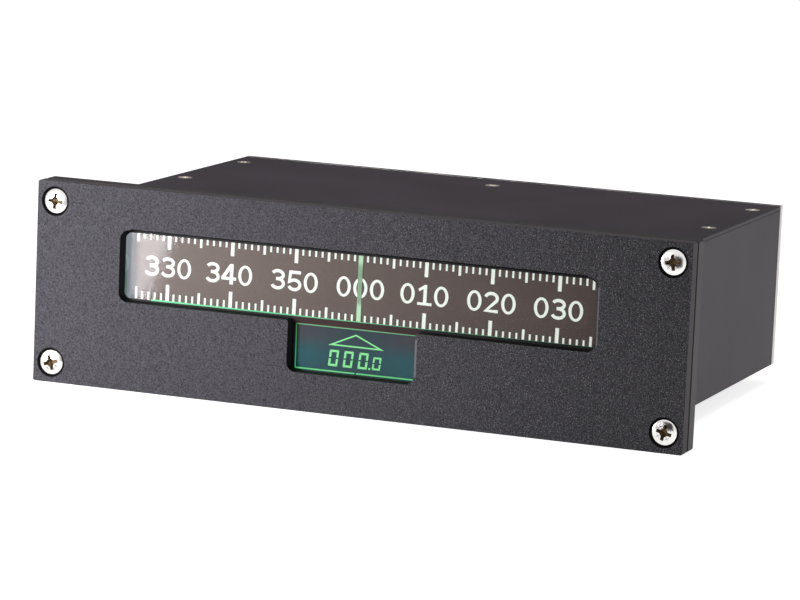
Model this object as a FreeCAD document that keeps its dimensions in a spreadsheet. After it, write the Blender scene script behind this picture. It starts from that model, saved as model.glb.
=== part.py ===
import FreeCAD, Part
import math
import os
import re
import Sketcher
from FreeCAD import Vector

# A heading repeater of the tape kind, for a console panel. Its frame has X to the right along the
# panel, Y to the rear through the console and Z up. The origin is the middle of the flange's rear
# face, the face that lands on the console. Lengths are in millimetres and angles in degrees.

SIZES = [
    # Panel: front plate, gasket and flange
    ("panel_width", 242.0),
    ("panel_height", 72.0),
    ("front_thickness", 5.0),
    ("gasket_thickness", 1.3),
    ("flange_thickness", 6.0),
    ("plate_corner_bevel", 0.5),
    ("gasket_setback", 0.7),
    ("gasket_notch", 4.0),
    ("window_inset", 32.4),
    ("window_top_edge", 14.8),
    ("window_lap", 1.6),
    ("window_corner", 3.5),
    ("display_width", 47.4),
    ("display_edge", 13.5),
    ("display_corner", 3.3),
    ("shoulder_corner", 0.8),
    ("flange_side", 17.5),
    ("flange_clear", 0.7),
    ("flange_drop", 0.6),
    ("flange_bay_gap", 2.0),
    ("flange_bay_drop", 1.0),
    ("flange_overhang", 13.6),
    ("flange_lip", 6.35),
    ("rebate_depth", 1.0),
    ("rebate_gap", 0.2),
    # Screws that hold the instrument to its console
    ("console_inset", 6.8),
    ("console_drop", 7.1),
    ("console_shank", 2.5),
    ("console_head", 4.65),
    ("console_sink", 5.3),
    ("console_dome", 1.1),
    ("dome_share", 0.45),
    ("console_reach", 14.0),
    ("console_clearance", 0.25),
    # Small screws
    ("small_shank", 1.5),
    ("small_head", 2.75),
    ("small_head_height", 1.8),
    ("sunk_head_height", 0.9),
    ("small_clearance", 0.1),
    ("seat_gap", 0.05),
    # Housing
    ("sheet_thickness", 1.5),
    ("rear_thickness", 3.0),
    ("lip_width", 11.0),
    ("lip_lead", 12.0),
    ("front_tab_gap", 5.0),
    ("front_tab_drop", 0.15),
    ("rear_tab_width", 10.0),
    ("rear_tab_inset", 4.65),
    ("rear_gap", 1.25),
    ("tongue_inset", 14.4),
    ("tongue_length", 1.5),
    ("tongue_clearance", 0.2),
    ("cover_screw_inset", 6.1),
    ("cover_screw_front", 70.0),
    ("cover_screw_setback", 10.0),
    ("rear_screw_inset", 6.9),
    ("rear_screw_drop", 9.65),
    ("nut_radius", 2.9),
    ("nut_height", 1.4),
    ("cover_screw_bite", 4.0),
    ("pillar_screw_bite", 5.0),
    # Mechanism deck and its pillars
    ("bay_headroom", 1.55),
    ("deck_thickness", 2.0),
    ("deck_inset", 4.4),
    ("deck_front", 1.6),
    ("deck_behind", 2.5),
    ("tab_width", 10.0),
    ("pillar_radius", 3.5),
    ("pillar_inset", 14.4),
    ("pillar_front", 34.0),
    ("pillar_rear_offset", 35.5),
    ("pillar_rear_setback", 16.0),
    ("cover_pillar_radius", 3.2),
    # Tape
    ("hole_pitch", 12.1),
    ("hole_count", 72.0),
    ("tape_headroom", 3.15),
    ("tape_lift", 3.9),
    ("tape_thickness", 0.25),
    ("tape_gap", 0.15),
    ("pane_gap", 0.3),
    ("hole_length", 2.8),
    ("hole_height", 2.0),
    ("hole_drop", 1.9),
    # Rollers
    ("roller_inset", 21.9),
    ("fold_stand", 29.9),
    ("sprocket_count", 6.0),
    ("tooth_length", 1.8),
    ("tooth_width", 1.3),
    ("tooth_rise", 0.9),
    ("tooth_point_share", 0.6),
    ("tooth_root", 0.4),
    ("return_radius", 8.0),
    ("roller_lift", 0.3),
    ("roller_over", 0.1),
    ("post_radius", 2.0),
    ("running_gap", 0.05),
    ("clip_radius", 3.6),
    ("clip_height", 0.6),
    ("clip_gap", 0.2),
    # Drum shaft, gear train and motor
    ("shaft_radius", 3.0),
    ("bush_radius", 5.0),
    ("bush_stand", 0.2),
    ("shaft_head", 5.0),
    ("shaft_head_height", 1.2),
    ("gear_module", 1.0),
    ("gear_backlash", 0.12),
    ("drum_teeth", 30.0),
    ("idler_teeth", 20.0),
    ("pinion_teeth", 12.0),
    ("gear_face", 3.6),
    ("gear_drop", 2.2),
    ("gear_root_share", 1.25),
    ("gear_clear_share", 1.5),
    ("pressure_angle", 20.0),
    ("train_angle", 100.0),
    ("pinion_angle", 110.0),
    ("motor_width", 35.0),
    ("motor_headroom", 12.15),
    ("motor_corner", 3.0),
    ("motor_shaft", 2.5),
    ("motor_bore_depth", 8.0),
    ("motor_screw_span", 26.0),
    ("motor_screw_bite", 4.0),
    # Tension arm and spring
    ("arm_length", 26.0),
    ("arm_round", 4.5),
    ("arm_thickness", 1.6),
    ("arm_gap", 0.4),
    ("arm_tab_width", 8.0),
    ("arm_tab_thickness", 1.5),
    ("arm_tab_rise", 4.0),
    ("arm_tab_inset", 12.0),
    ("leaf_length", 44.0),
    ("leaf_thickness", 0.4),
    ("leaf_height", 3.2),
    ("leaf_gap", 0.1),
    ("clamp_width", 8.0),
    ("clamp_depth", 6.0),
    ("clamp_height", 6.0),
    # Zero sensor
    ("sensor_length", 12.0),
    ("sensor_width", 6.8),
    ("sensor_height", 11.0),
    ("sensor_slot", 2.4),
    ("sensor_floor", 3.0),
    ("sensor_place", 60.0),
    ("notch_length", 2.0),
    ("notch_height", 1.4),
    # Window pane, light bar and lubber line
    ("pane_lap", 3.0),
    ("pane_lap_above", 7.0),
    ("pane_raise", 0.85),
    ("line_width", 1.6),
    ("line_thickness", 0.15),
    ("bar_lap", 1.5),
    # Display
    ("glass_gap", 0.6),
    ("glass_seam", 0.1),
    ("glass_raise", 0.2),
    ("glass_thickness", 1.1),
    ("holder_rim", 7.9),
    ("holder_lap", 3.5),
    ("holder_thickness", 6.0),
    ("holder_seam", 0.5),
    ("backlight_depth", 4.0),
    ("backlight_gap", 0.2),
    ("sill_share", 0.1),
    ("board_thickness", 1.6),
    ("display_screw_inset", 3.0),
    ("display_screw_lift", 5.5),
    ("header_width", 20.0),
    ("header_depth", 3.0),
    ("header_height", 5.0),
    ("header_inset", 0.6),
    ("ribbon_width", 16.0),
    ("ribbon_thickness", 0.6),
    ("ribbon_sag", 2.5),
    # Control board
    ("control_inset", 33.4),
    ("control_clear", 41.5),
    ("control_front", 44.0),
    ("control_setback", 33.2),
    ("spacer_height", 4.5),
    ("spacer_radius", 3.0),
    ("spacer_cap", 1.2),
    ("spacer_inset", 4.0),
    ("processor_width", 14.0),
    ("processor_height", 1.8),
    ("capacitor_radius", 4.0),
    ("capacitor_height", 8.0),
    ("capacitor_pitch", 11.0),
    ("regulator_width", 10.0),
    ("regulator_depth", 4.4),
    ("regulator_height", 8.5),
    ("sink_width", 24.0),
    ("sink_base", 1.6),
    ("sink_fin", 6.0),
    # Rear connector and earth stud
    ("socket_offset", 15.0),
    ("socket_lift", 10.15),
    ("socket_flange_width", 39.2),
    ("socket_flange_height", 12.4),
    ("socket_flange_thickness", 1.0),
    ("shell_width", 25.0),
    ("shell_height", 8.4),
    ("shell_reach", 6.0),
    ("shell_wall", 0.5),
    ("shell_clearance", 0.2),
    ("shell_slant_share", 0.09),
    ("socket_body_depth", 10.0),
    ("jack_span", 33.3),
    ("jack_radius", 2.7),
    ("jack_length", 5.0),
    ("stud_inset", 23.5),
    ("stud_radius", 2.0),
    ("stud_reach", 14.0),
    ("stud_runout", 0.3),
    ("stud_root", 5.0),
    ("stud_nut_radius", 3.8),
    ("stud_nut_height", 3.0),
]

# Sizes that follow from the ones above, as formulas. Those called above, below, foot, level or top
# are heights from the panel's middle, and the tape's path runs along the middle of its thickness.
# The drum's pitch circle holds a whole number of perforation spaces, and the loop's length settles
# how far back the rear run lies once the fold's front end has its stand behind the front run.
FOLLOWING = {
    "housing_width": "panel_width - 2 * flange_overhang",
    "housing_height": "panel_height - 2 * flange_lip",
    "bay_height": "spacer_height + board_thickness + regulator_height + bay_headroom",
    "deck_level": "housing_height / 2 - sheet_thickness - bay_height - deck_thickness",
    "tape_foot": "deck_level - tape_lift",
    "tape_top": "housing_height / 2 - sheet_thickness - tape_headroom",
    "tape_height": "tape_top + tape_foot",
    "window_width": "panel_width - 2 * window_inset",
    "window_above": "panel_height / 2 - window_top_edge",
    "window_below": "tape_foot - window_lap",
    "display_below": "panel_height / 2 - display_edge",
    "bar_below": "window_below + bar_lap",
    "pane_above": "window_above + pane_lap_above",
    "pane_below": "window_below - pane_raise",
    "glass_width": "display_width - 2 * glass_gap",
    "glass_above": "bar_below + glass_seam",
    "glass_below": "display_below - glass_raise",
    "holder_width": "glass_width + 2 * holder_rim",
    "holder_above": "glass_above + holder_seam",
    "holder_below": "display_below + holder_lap",
    "display_screw_span": "holder_width - 2 * display_screw_inset",
    "display_screw_below": "display_below - display_screw_lift",
    "flange_above": "tape_top + flange_clear",
    "flange_below": "deck_level + flange_drop",
    "flange_bay_width": "holder_width + 2 * flange_bay_gap",
    "flange_bay_below": "holder_below + flange_bay_drop",
    "console_span": "panel_width - 2 * console_inset",
    "console_rise": "panel_height - 2 * console_drop",
    "pitch_radius": "sprocket_count * hole_pitch / (2 * pi)",
    "guide_radius": "pitch_radius - tape_thickness / 2 - tape_gap",
    "return_pitch": "return_radius + tape_gap + tape_thickness / 2",
    "roller_span": "housing_width - 2 * roller_inset",
    "right_axis": "roller_span / 2",
    "front_run": "pane_gap + tape_thickness / 2 - flange_thickness",
    "front_axis": "front_run + pitch_radius",
    "tension_axis": "front_run + fold_stand",
    "loop_left": "hole_count * hole_pitch - 2 * roller_span + 2 * front_run + 2 * tension_axis",
    "rear_run": "(loop_left + (4 - 2 * pi) * pitch_radius + (6 - 2 * pi) * return_pitch) / 4",
    "rear_axis": "rear_run - pitch_radius",
    "return_axis": "rear_run - return_pitch",
    "gear_reach": "gear_module * (drum_teeth + 2) / 2",
    "housing_depth": "rear_axis + gear_reach + rear_gap + rear_thickness",
    "front_tab_inner": "holder_width / 2 + front_tab_gap",
    "front_tab_rise": "bay_height - front_tab_drop",
    "rear_tab_rise": "housing_height - 2 * rear_tab_inset",
    "tongue_width": "housing_width - 2 * tongue_inset",
    "cover_screw_span": "housing_width - 2 * cover_screw_inset",
    "cover_screw_rear": "rear_run - cover_screw_setback",
    "lip_start": "cover_screw_front - lip_lead",
    "rear_screw_span": "housing_width - 2 * rear_screw_inset",
    "rear_screw_rise": "housing_height - 2 * rear_screw_drop",
    "deck_width": "housing_width - 2 * deck_inset",
    "deck_rear": "rear_run + deck_behind",
    "tab_inner": "(display_screw_span - tab_width) / 2",
    "tab_outer": "(display_screw_span + tab_width) / 2",
    "pillar_front_span": "housing_width - 2 * pillar_inset",
    "pillar_rear_span": "roller_span - 2 * pillar_rear_offset",
    "pillar_rear": "rear_run - pillar_rear_setback",
    "roller_top": "tape_top + roller_over",
    "motor_height": "housing_height / 2 - sheet_thickness + deck_level - motor_headroom",
    "control_left": "housing_width / 2 - control_inset",
    "control_right": "right_axis - control_clear",
    "control_rear": "housing_depth - control_setback",
    "socket_below": "housing_height / 2 - socket_lift",
    "stud_offset": "right_axis - stud_inset",
}

FULL_TURN = 360

doc = FreeCAD.newDocument("heading_repeater")
sheet = doc.addObject("Spreadsheet::Sheet", "sizes")
for row, (alias, amount) in enumerate(SIZES, start=1):
    sheet.set(f"A{row}", alias)
    sheet.set(f"B{row}", str(amount))
    sheet.setAlias(f"B{row}", alias)
doc.recompute()

pieces = []


def linked(formula):
    """Spell out the sizes that follow from others, and point the rest at their cells of the sheet."""
    def spelled(match):
        name = match.group()
        return f"({linked(FOLLOWING[name])})" if name in FOLLOWING else f"sizes.{name}"

    return re.sub(r"\b[a-z]+(?:_[a-z]+)+\b", spelled, str(formula))


def bind(thing, **formulas):
    """Bind properties of an object to formulas of the sheet's sizes."""
    for name, formula in formulas.items():
        thing.setExpression(name, linked(formula))


gauge = doc.addObject("Part::Vertex", "gauge")


def measured(formula):
    """The present value of a formula, as a number."""
    gauge.setExpression("X", linked(formula))
    gauge.recompute()
    return gauge.X.Value


def place(thing, across="0", back="0", up="0"):
    """Bind the place of an object to formulas."""
    thing.setExpression("Placement.Base.x", linked(across))
    thing.setExpression("Placement.Base.y", linked(back))
    thing.setExpression("Placement.Base.z", linked(up))


def piece(thing, label):
    """Name a finished sub-part and keep it for the hand-over."""
    thing.Label = label
    pieces.append(thing)
    return thing


def block(name, across, back, up):
    """A box between three pairs of formulas: left and right, front and rear, bottom and top."""
    box = doc.addObject("Part::Box", name)
    bind(box, Length=f"({across[1]}) - ({across[0]})")
    bind(box, Width=f"({back[1]}) - ({back[0]})")
    bind(box, Height=f"({up[1]}) - ({up[0]})")
    place(box, across[0], back[0], up[0])
    return box


def rod(name, radius, across, back, up):
    """An upright round bar between two levels."""
    bar = doc.addObject("Part::Cylinder", name)
    bind(bar, Radius=radius, Height=f"({up[1]}) - ({up[0]})")
    place(bar, across, back, up[0])
    return bar


def rod_back(name, radius, across, back, up):
    """A round bar that runs to the rear between two depths."""
    bar = doc.addObject("Part::Cylinder", name)
    bind(bar, Radius=radius, Height=f"({back[1]}) - ({back[0]})")
    bar.Placement.Rotation = FreeCAD.Rotation(Vector(1, 0, 0), -90)
    place(bar, across, back[0], up)
    return bar


def cone_back(name, front_radius, rear_radius, across, back, up):
    """A round taper that runs to the rear between two depths."""
    taper = doc.addObject("Part::Cone", name)
    bind(taper, Radius1=front_radius, Radius2=rear_radius, Height=f"({back[1]}) - ({back[0]})")
    taper.Placement.Rotation = FreeCAD.Rotation(Vector(1, 0, 0), -90)
    place(taper, across, back[0], up)
    return taper


# Screws and nuts inside the housing are six-sided, and the smallest turned pieces there twelve-sided.
HEXAGON = 6
FINE = 12


def prism(name, radius, across, back, up, sides=HEXAGON):
    """An upright many-sided bar between two levels."""
    bar = doc.addObject("Part::Prism", name)
    bar.Polygon = sides
    bind(bar, Circumradius=radius, Height=f"({up[1]}) - ({up[0]})")
    place(bar, across, back, up[0])
    return bar


def prism_back(name, radius, across, back, up, sides=HEXAGON):
    """A many-sided bar that runs to the rear between two depths."""
    bar = doc.addObject("Part::Prism", name)
    bar.Polygon = sides
    bind(bar, Circumradius=radius, Height=f"({back[1]}) - ({back[0]})")
    bar.Placement.Rotation = FreeCAD.Rotation(Vector(1, 0, 0), -90)
    place(bar, across, back[0], up)
    return bar


def bore_for(radius, sides=FINE):
    """The corner radius of a many-sided bore whose flats just clear a round bar."""
    return f"({radius}) / cos(180 / {sides})"


def fuse(name, shapes):
    """Join shapes into one object."""
    joined = doc.addObject("Part::MultiFuse", name)
    joined.Shapes = shapes
    joined.Refine = True
    return joined


def cut(name, base, tools):
    """Take one or more shapes away from a base."""
    tool = tools[0] if len(tools) == 1 else fuse(name + "_tools", tools)
    remainder = doc.addObject("Part::Cut", name)
    remainder.Base = base
    remainder.Tool = tool
    remainder.Refine = True
    return remainder


def group(name, shapes):
    """Hold separate solids together as one sub-part."""
    held = doc.addObject("Part::Compound", name)
    held.Links = shapes
    return held


def new_body(name):
    """A body that is built from sketches."""
    return doc.addObject("PartDesign::Body", name)


def sketch_on(body, role, name):
    """A sketch on one of the body's own origin planes."""
    sketch = body.newObject("Sketcher::SketchObject", name)
    plane = next(feature for feature in body.Origin.OriginFeatures if feature.Role == role)
    sketch.AttachmentSupport = [(plane, "")]
    sketch.MapMode = "FlatFace"
    return sketch


def pin_point(sketch, edge, end, across, up):
    """Hold one point of a sketch at two formulas."""
    for kind, formula in (("DistanceX", across), ("DistanceY", up)):
        number = sketch.addConstraint(Sketcher.Constraint(kind, -1, 1, edge, end, 1.0))
        sketch.setExpression(f"Constraints[{number}]", linked(formula))


def polygon(sketch, corners):
    """Close a loop of straight edges through pairs of formulas."""
    count = len(corners)
    first = sketch.GeometryCount
    turn = 2 * math.pi / count
    for index in range(count):
        here = Vector(math.cos(index * turn), math.sin(index * turn))
        there = Vector(math.cos((index + 1) * turn), math.sin((index + 1) * turn))
        sketch.addGeometry(Part.LineSegment(here, there))
    for index in range(count):
        after = first + (index + 1) % count
        sketch.addConstraint(Sketcher.Constraint("Coincident", first + index, 2, after, 1))
    for index, (across, up) in enumerate(corners):
        pin_point(sketch, first + index, 1, across, up)


def rectangle(sketch, left, right, low, high):
    """A rectangle between formulas."""
    polygon(sketch, [(left, low), (right, low), (right, high), (left, high)])


def circle(sketch, radius, across, up):
    """A circle at a pair of formulas."""
    edge = sketch.addGeometry(Part.Circle(Vector(0, 0), Vector(0, 0, 1), 1.0))
    number = sketch.addConstraint(Sketcher.Constraint("Radius", edge, 1.0))
    sketch.setExpression(f"Constraints[{number}]", linked(radius))
    pin_point(sketch, edge, 3, across, up)


def pad(body, sketch, name, length):
    """Raise a sketch by a length."""
    feature = body.newObject("PartDesign::Pad", name)
    feature.Profile = sketch
    feature.setExpression("Length", linked(length))
    sketch.Visibility = False
    return feature


def pocket_through(body, sketch, name):
    """Cut a sketch right through, along the way that the body was raised."""
    feature = body.newObject("PartDesign::Pocket", name)
    feature.Profile = sketch
    feature.Type = "ThroughAll"
    feature.Reversed = True
    return feature


def round_corners(body, name, radius, wanted):
    """Round those edges of a body that the test accepts."""
    doc.recompute()
    base = body.Tip
    names = [f"Edge{index}" for index, edge in enumerate(base.Shape.Edges, start=1) if wanted(edge)]
    feature = body.newObject("PartDesign::Fillet", name)
    feature.Base = (base, names)
    feature.setExpression("Radius", linked(radius))
    return feature


def runs_back(edge):
    """Whether an edge is straight and runs from front to rear."""
    if not isinstance(edge.Curve, Part.Line):
        return False
    return abs(edge.tangentAt(edge.FirstParameter).y) > math.cos(math.radians(1))


def middle(edge):
    """The middle of an edge's box."""
    return edge.BoundBox.Center


def mirrored_pairs(span, rise):
    """The four places of a rectangular screw pattern."""
    return [(f"{side}{span} / 2", f"{level}{rise} / 2") for side in ("-", "") for level in ("-", "")]


# Depths of the stacked plates, as formulas
FLANGE_FRONT = "-flange_thickness"
PANE_FRONT = "-flange_thickness - gasket_thickness"
FACE = "-flange_thickness - gasket_thickness - front_thickness"
COVER_UNDER = "housing_height / 2 - sheet_thickness"
FLOOR = "-housing_height / 2 + sheet_thickness"
INNER_SIDE = "housing_width / 2 - sheet_thickness"
REAR_INSIDE = "housing_depth - rear_thickness"
HOUSING_FRONT = "-rebate_depth"
DECK_TOP = "-deck_level"
DECK_UNDER = "-deck_level - deck_thickness"

CONSOLE_PLACES = mirrored_pairs("console_span", "console_rise")
REAR_SCREW_PLACES = mirrored_pairs("rear_screw_span", "rear_screw_rise")
COVER_SCREW_PLACES = [
    (f"{side}cover_screw_span / 2", depth)
    for side in ("-", "")
    for depth in ("cover_screw_front", "cover_screw_rear")
]


def window_outline(sketch):
    """The tape window with the display opening below its middle."""
    polygon(sketch, [
        ("-window_width / 2", "-window_below"),
        ("-display_width / 2", "-window_below"),
        ("-display_width / 2", "-display_below"),
        ("display_width / 2", "-display_below"),
        ("display_width / 2", "-window_below"),
        ("window_width / 2", "-window_below"),
        ("window_width / 2", "window_above"),
        ("-window_width / 2", "window_above"),
    ])


def bevel_corners(body, name):
    """Take the sharpness off the four outer corners of a panel plate."""
    doc.recompute()
    base = body.Tip
    half = sheet.panel_width / 2
    names = [
        f"Edge{index}" for index, edge in enumerate(base.Shape.Edges, start=1)
        if runs_back(edge) and abs(abs(middle(edge).x) - half) < sheet.plate_corner_bevel]
    feature = body.newObject("PartDesign::Chamfer", name)
    feature.Base = (base, names)
    feature.setExpression("Size", linked("plate_corner_bevel"))
    return feature


def console_holes(name, depths):
    """Holes for the four console screws between two depths."""
    return [
        prism_back(
            f"{name}_hole_{number}", bore_for("console_shank + console_clearance"), across, depths, up, FINE)
        for number, (across, up) in enumerate(CONSOLE_PLACES)]


def make_front_plate():
    """The thick textured plate with its window, and countersinks for the console screws."""
    body = new_body("front_plate_body")
    outline = sketch_on(body, "XZ_Plane", "plate_outline")
    rectangle(outline, "-panel_width / 2", "panel_width / 2", "-panel_height / 2", "panel_height / 2")
    pad(body, outline, "plate", "front_thickness")
    opening = sketch_on(body, "XZ_Plane", "window_outline")
    window_outline(opening)
    pocket_through(body, opening, "window")
    half_window = measured("window_width / 2")
    half_display = sheet.display_width / 2
    slack = sheet.plate_corner_bevel

    def at_side(edge, distance):
        return runs_back(edge) and abs(abs(middle(edge).x) - distance) < slack

    def at_level(edge, level):
        return abs(middle(edge).z - level) < slack

    round_corners(body, "window_corners", "window_corner", lambda edge: at_side(edge, half_window))
    round_corners(
        body, "display_corners", "display_corner",
        lambda edge: at_side(edge, half_display) and at_level(edge, measured("-display_below")))
    round_corners(
        body, "shoulder_corners", "shoulder_corner",
        lambda edge: at_side(edge, half_display) and at_level(edge, measured("-window_below")))
    bevel_corners(body, "plate_corners")
    place(body, back=PANE_FRONT)
    holes = console_holes("plate", (FACE, PANE_FRONT))
    holes += [
        cone_back(f"console_sink_{number}", "console_sink", "console_shank", across,
                  (FACE, f"{FACE} + console_sink - console_shank"), up)
        for number, (across, up) in enumerate(CONSOLE_PLACES)]
    return piece(cut("front_plate_sunk", body, holes), "front_plate")


def make_panel_gasket():
    """The rubber sheet between plate and flange, cut out for the pane, the display and the screws."""
    body = new_body("panel_gasket")
    outline = sketch_on(body, "XZ_Plane", "gasket_outline")
    rectangle(
        outline, "-panel_width / 2 + gasket_setback", "panel_width / 2 - gasket_setback",
        "-panel_height / 2 + gasket_setback", "panel_height / 2 - gasket_setback")
    pad(body, outline, "gasket", "gasket_thickness")
    opening = sketch_on(body, "XZ_Plane", "gasket_opening")
    polygon(opening, [
        ("-window_width / 2 - pane_lap - pane_gap", "-bar_below - pane_gap"),
        ("-holder_width / 2 - pane_gap", "-bar_below - pane_gap"),
        ("-holder_width / 2 - pane_gap", "-holder_below - pane_gap"),
        ("holder_width / 2 + pane_gap", "-holder_below - pane_gap"),
        ("holder_width / 2 + pane_gap", "-bar_below - pane_gap"),
        ("window_width / 2 + pane_lap + pane_gap", "-bar_below - pane_gap"),
        ("window_width / 2 + pane_lap + pane_gap", "pane_above + pane_gap"),
        ("-window_width / 2 - pane_lap - pane_gap", "pane_above + pane_gap"),
    ])
    pocket_through(body, opening, "gasket_window")
    for number, (across, up) in enumerate(CONSOLE_PLACES):
        notch = sketch_on(body, "XZ_Plane", f"gasket_notch_{number}")
        rectangle(
            notch, f"{across} - gasket_notch", f"{across} + gasket_notch",
            f"{up} - gasket_notch", f"{up} + gasket_notch")
        pocket_through(body, notch, f"gasket_hole_{number}")
    place(body, back=FLANGE_FRONT)
    return piece(body, "panel_gasket")


def make_mounting_flange():
    """The machined frame that lands on the console, with a rebate for the housing behind it."""
    body = new_body("mounting_flange_body")
    outline = sketch_on(body, "XZ_Plane", "flange_outline")
    rectangle(outline, "-panel_width / 2", "panel_width / 2", "-panel_height / 2", "panel_height / 2")
    pad(body, outline, "flange", "flange_thickness")
    opening = sketch_on(body, "XZ_Plane", "flange_opening")
    side = "(panel_width / 2 - flange_side)"
    polygon(opening, [
        (f"-{side}", "-flange_below"),
        ("-flange_bay_width / 2", "-flange_below"),
        ("-flange_bay_width / 2", "-flange_bay_below"),
        ("flange_bay_width / 2", "-flange_bay_below"),
        ("flange_bay_width / 2", "-flange_below"),
        (side, "-flange_below"),
        (side, "flange_above"),
        (f"-{side}", "flange_above"),
    ])
    pocket_through(body, opening, "flange_window")
    bevel_corners(body, "flange_corners")
    groove = block(
        "cover_groove",
        ("-tongue_width / 2 - tongue_clearance", "tongue_width / 2 + tongue_clearance"),
        (f"{HOUSING_FRONT} - tongue_length - tongue_clearance", "0"),
        (f"{COVER_UNDER} - tongue_clearance", "housing_height / 2 + tongue_clearance"))
    rebate = block(
        "housing_rebate",
        ("-housing_width / 2 - rebate_gap", "housing_width / 2 + rebate_gap"), (HOUSING_FRONT, "0"),
        ("-housing_height / 2 - rebate_gap", "housing_height / 2 + rebate_gap"))
    holes = console_holes("flange", (FLANGE_FRONT, "0"))
    return piece(cut("mounting_flange_cut", body, [groove, rebate, *holes]), "mounting_flange")


def make_console_screws():
    """Four raised countersunk screws through the whole panel into the console."""
    screws = []
    rim = f"({FACE} + console_sink - console_head)"
    for number, (across, up) in enumerate(CONSOLE_PLACES):
        neck = prism_back(f"console_neck_{number}", "console_shank", across, (rim, "0"), up, FINE)
        shank = rod_back(f"console_shank_{number}", "console_shank", across, ("0", "console_reach"), up)
        cone = cone_back(
            f"console_cone_{number}", "console_head - seat_gap", "console_shank", across,
            (rim, f"{rim} + console_head - seat_gap - console_shank"), up)
        crown = cone_back(
            f"console_crown_{number}", "console_head * dome_share", "console_head - seat_gap", across,
            (f"{rim} - console_dome", rim), up)
        screws.append(fuse(f"console_screw_{number}", [neck, shank, cone, crown]))
    return piece(group("console_screw_group", screws), "console_screws")


def make_base_tray():
    """The folded tray: floor, side walls, inward lips for the cover, and tabs at both ends."""
    floor = block(
        "tray_floor", ("-housing_width / 2", "housing_width / 2"), (HOUSING_FRONT, REAR_INSIDE),
        ("-housing_height / 2", FLOOR))
    solids = [floor]
    for side, name in (("-", "left"), ("", "right")):
        inner = f"{side}({INNER_SIDE})"
        outer = f"{side}housing_width / 2"

        def between(edge, limit):
            return (edge, limit) if side else (limit, edge)

        solids.append(block(
            f"tray_{name}_wall", between(outer, inner), (HOUSING_FRONT, REAR_INSIDE),
            ("-housing_height / 2", COVER_UNDER)))
        solids.append(block(
            f"tray_{name}_lip", between(outer, f"{side}(housing_width / 2 - lip_width)"),
            ("lip_start", REAR_INSIDE), (f"{COVER_UNDER} - sheet_thickness", COVER_UNDER)))
        solids.append(block(
            f"tray_{name}_front_tab", between(inner, f"{side}front_tab_inner"),
            (HOUSING_FRONT, f"{HOUSING_FRONT} + sheet_thickness"),
            ("-housing_height / 2", f"{FLOOR} + front_tab_rise")))
        solids.append(block(
            f"tray_{name}_rear_tab", between(inner, f"{side}(housing_width / 2 - rear_tab_width)"),
            (f"{REAR_INSIDE} - sheet_thickness", REAR_INSIDE),
            ("-rear_tab_rise / 2", "rear_tab_rise / 2")))
    holes = [
        prism_back(
            f"tray_rear_hole_{number}", "small_shank + small_clearance", across,
            (f"{REAR_INSIDE} - sheet_thickness", REAR_INSIDE), up)
        for number, (across, up) in enumerate(REAR_SCREW_PLACES)]
    holes += [
        prism(
            f"tray_lip_hole_{number}", "small_shank + small_clearance", across, back,
            (f"{COVER_UNDER} - sheet_thickness", COVER_UNDER))
        for number, (across, back) in enumerate(COVER_SCREW_PLACES)]
    return piece(cut("base_tray_drilled", fuse("tray_sheet", solids), holes), "base_tray")


def make_top_cover():
    """The flat cover with its front tongue and five sunk screw holes."""
    plate = block(
        "cover_plate", ("-housing_width / 2", "housing_width / 2"), (HOUSING_FRONT, REAR_INSIDE),
        (COVER_UNDER, "housing_height / 2"))
    tongue = block(
        "cover_tongue", ("-tongue_width / 2", "tongue_width / 2"),
        (f"{HOUSING_FRONT} - tongue_length", HOUSING_FRONT), (COVER_UNDER, "housing_height / 2"))
    holes = []
    for number, (across, back) in enumerate(COVER_SCREW_PLACES + [("0", "cover_screw_rear")]):
        holes.append(prism(
            f"cover_hole_{number}", "small_shank + small_clearance", across, back,
            (COVER_UNDER, "housing_height / 2")))
        holes.append(prism(
            f"cover_sink_{number}", "small_head + small_clearance", across, back,
            ("housing_height / 2 - sunk_head_height", "housing_height / 2"), FINE))
    return piece(cut("top_cover_sunk", fuse("cover_sheet", [plate, tongue]), holes), "top_cover")


def make_cover_screws():
    """Five screws with sunk flat heads: four into the tray's lips and one into the tall pillar."""
    screws = []
    for number, (across, back) in enumerate(COVER_SCREW_PLACES + [("0", "cover_screw_rear")]):
        shank = prism(
            f"cover_shank_{number}", "small_shank", across, back,
            (f"{COVER_UNDER} - cover_screw_bite", "housing_height / 2"))
        head = prism(
            f"cover_head_{number}", "small_head", across, back,
            ("housing_height / 2 - sunk_head_height", "housing_height / 2"), FINE)
        screws.append(fuse(f"cover_screw_{number}", [shank, head]))
    return piece(group("cover_screw_group", screws), "cover_screws")


def make_rear_screws():
    """Four hexagon-headed screws through the rear panel into the tray's tabs."""
    screws = []
    for number, (across, up) in enumerate(REAR_SCREW_PLACES):
        shank = prism_back(
            f"rear_shank_{number}", "small_shank", across,
            (f"{REAR_INSIDE} - sheet_thickness - nut_height", "housing_depth"), up)
        head = prism_back(
            f"rear_head_{number}", "small_head", across,
            ("housing_depth", "housing_depth + small_head_height"), up)
        screws.append(fuse(f"rear_screw_{number}", [shank, head]))
    return piece(group("rear_screw_group", screws), "rear_screws")


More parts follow.
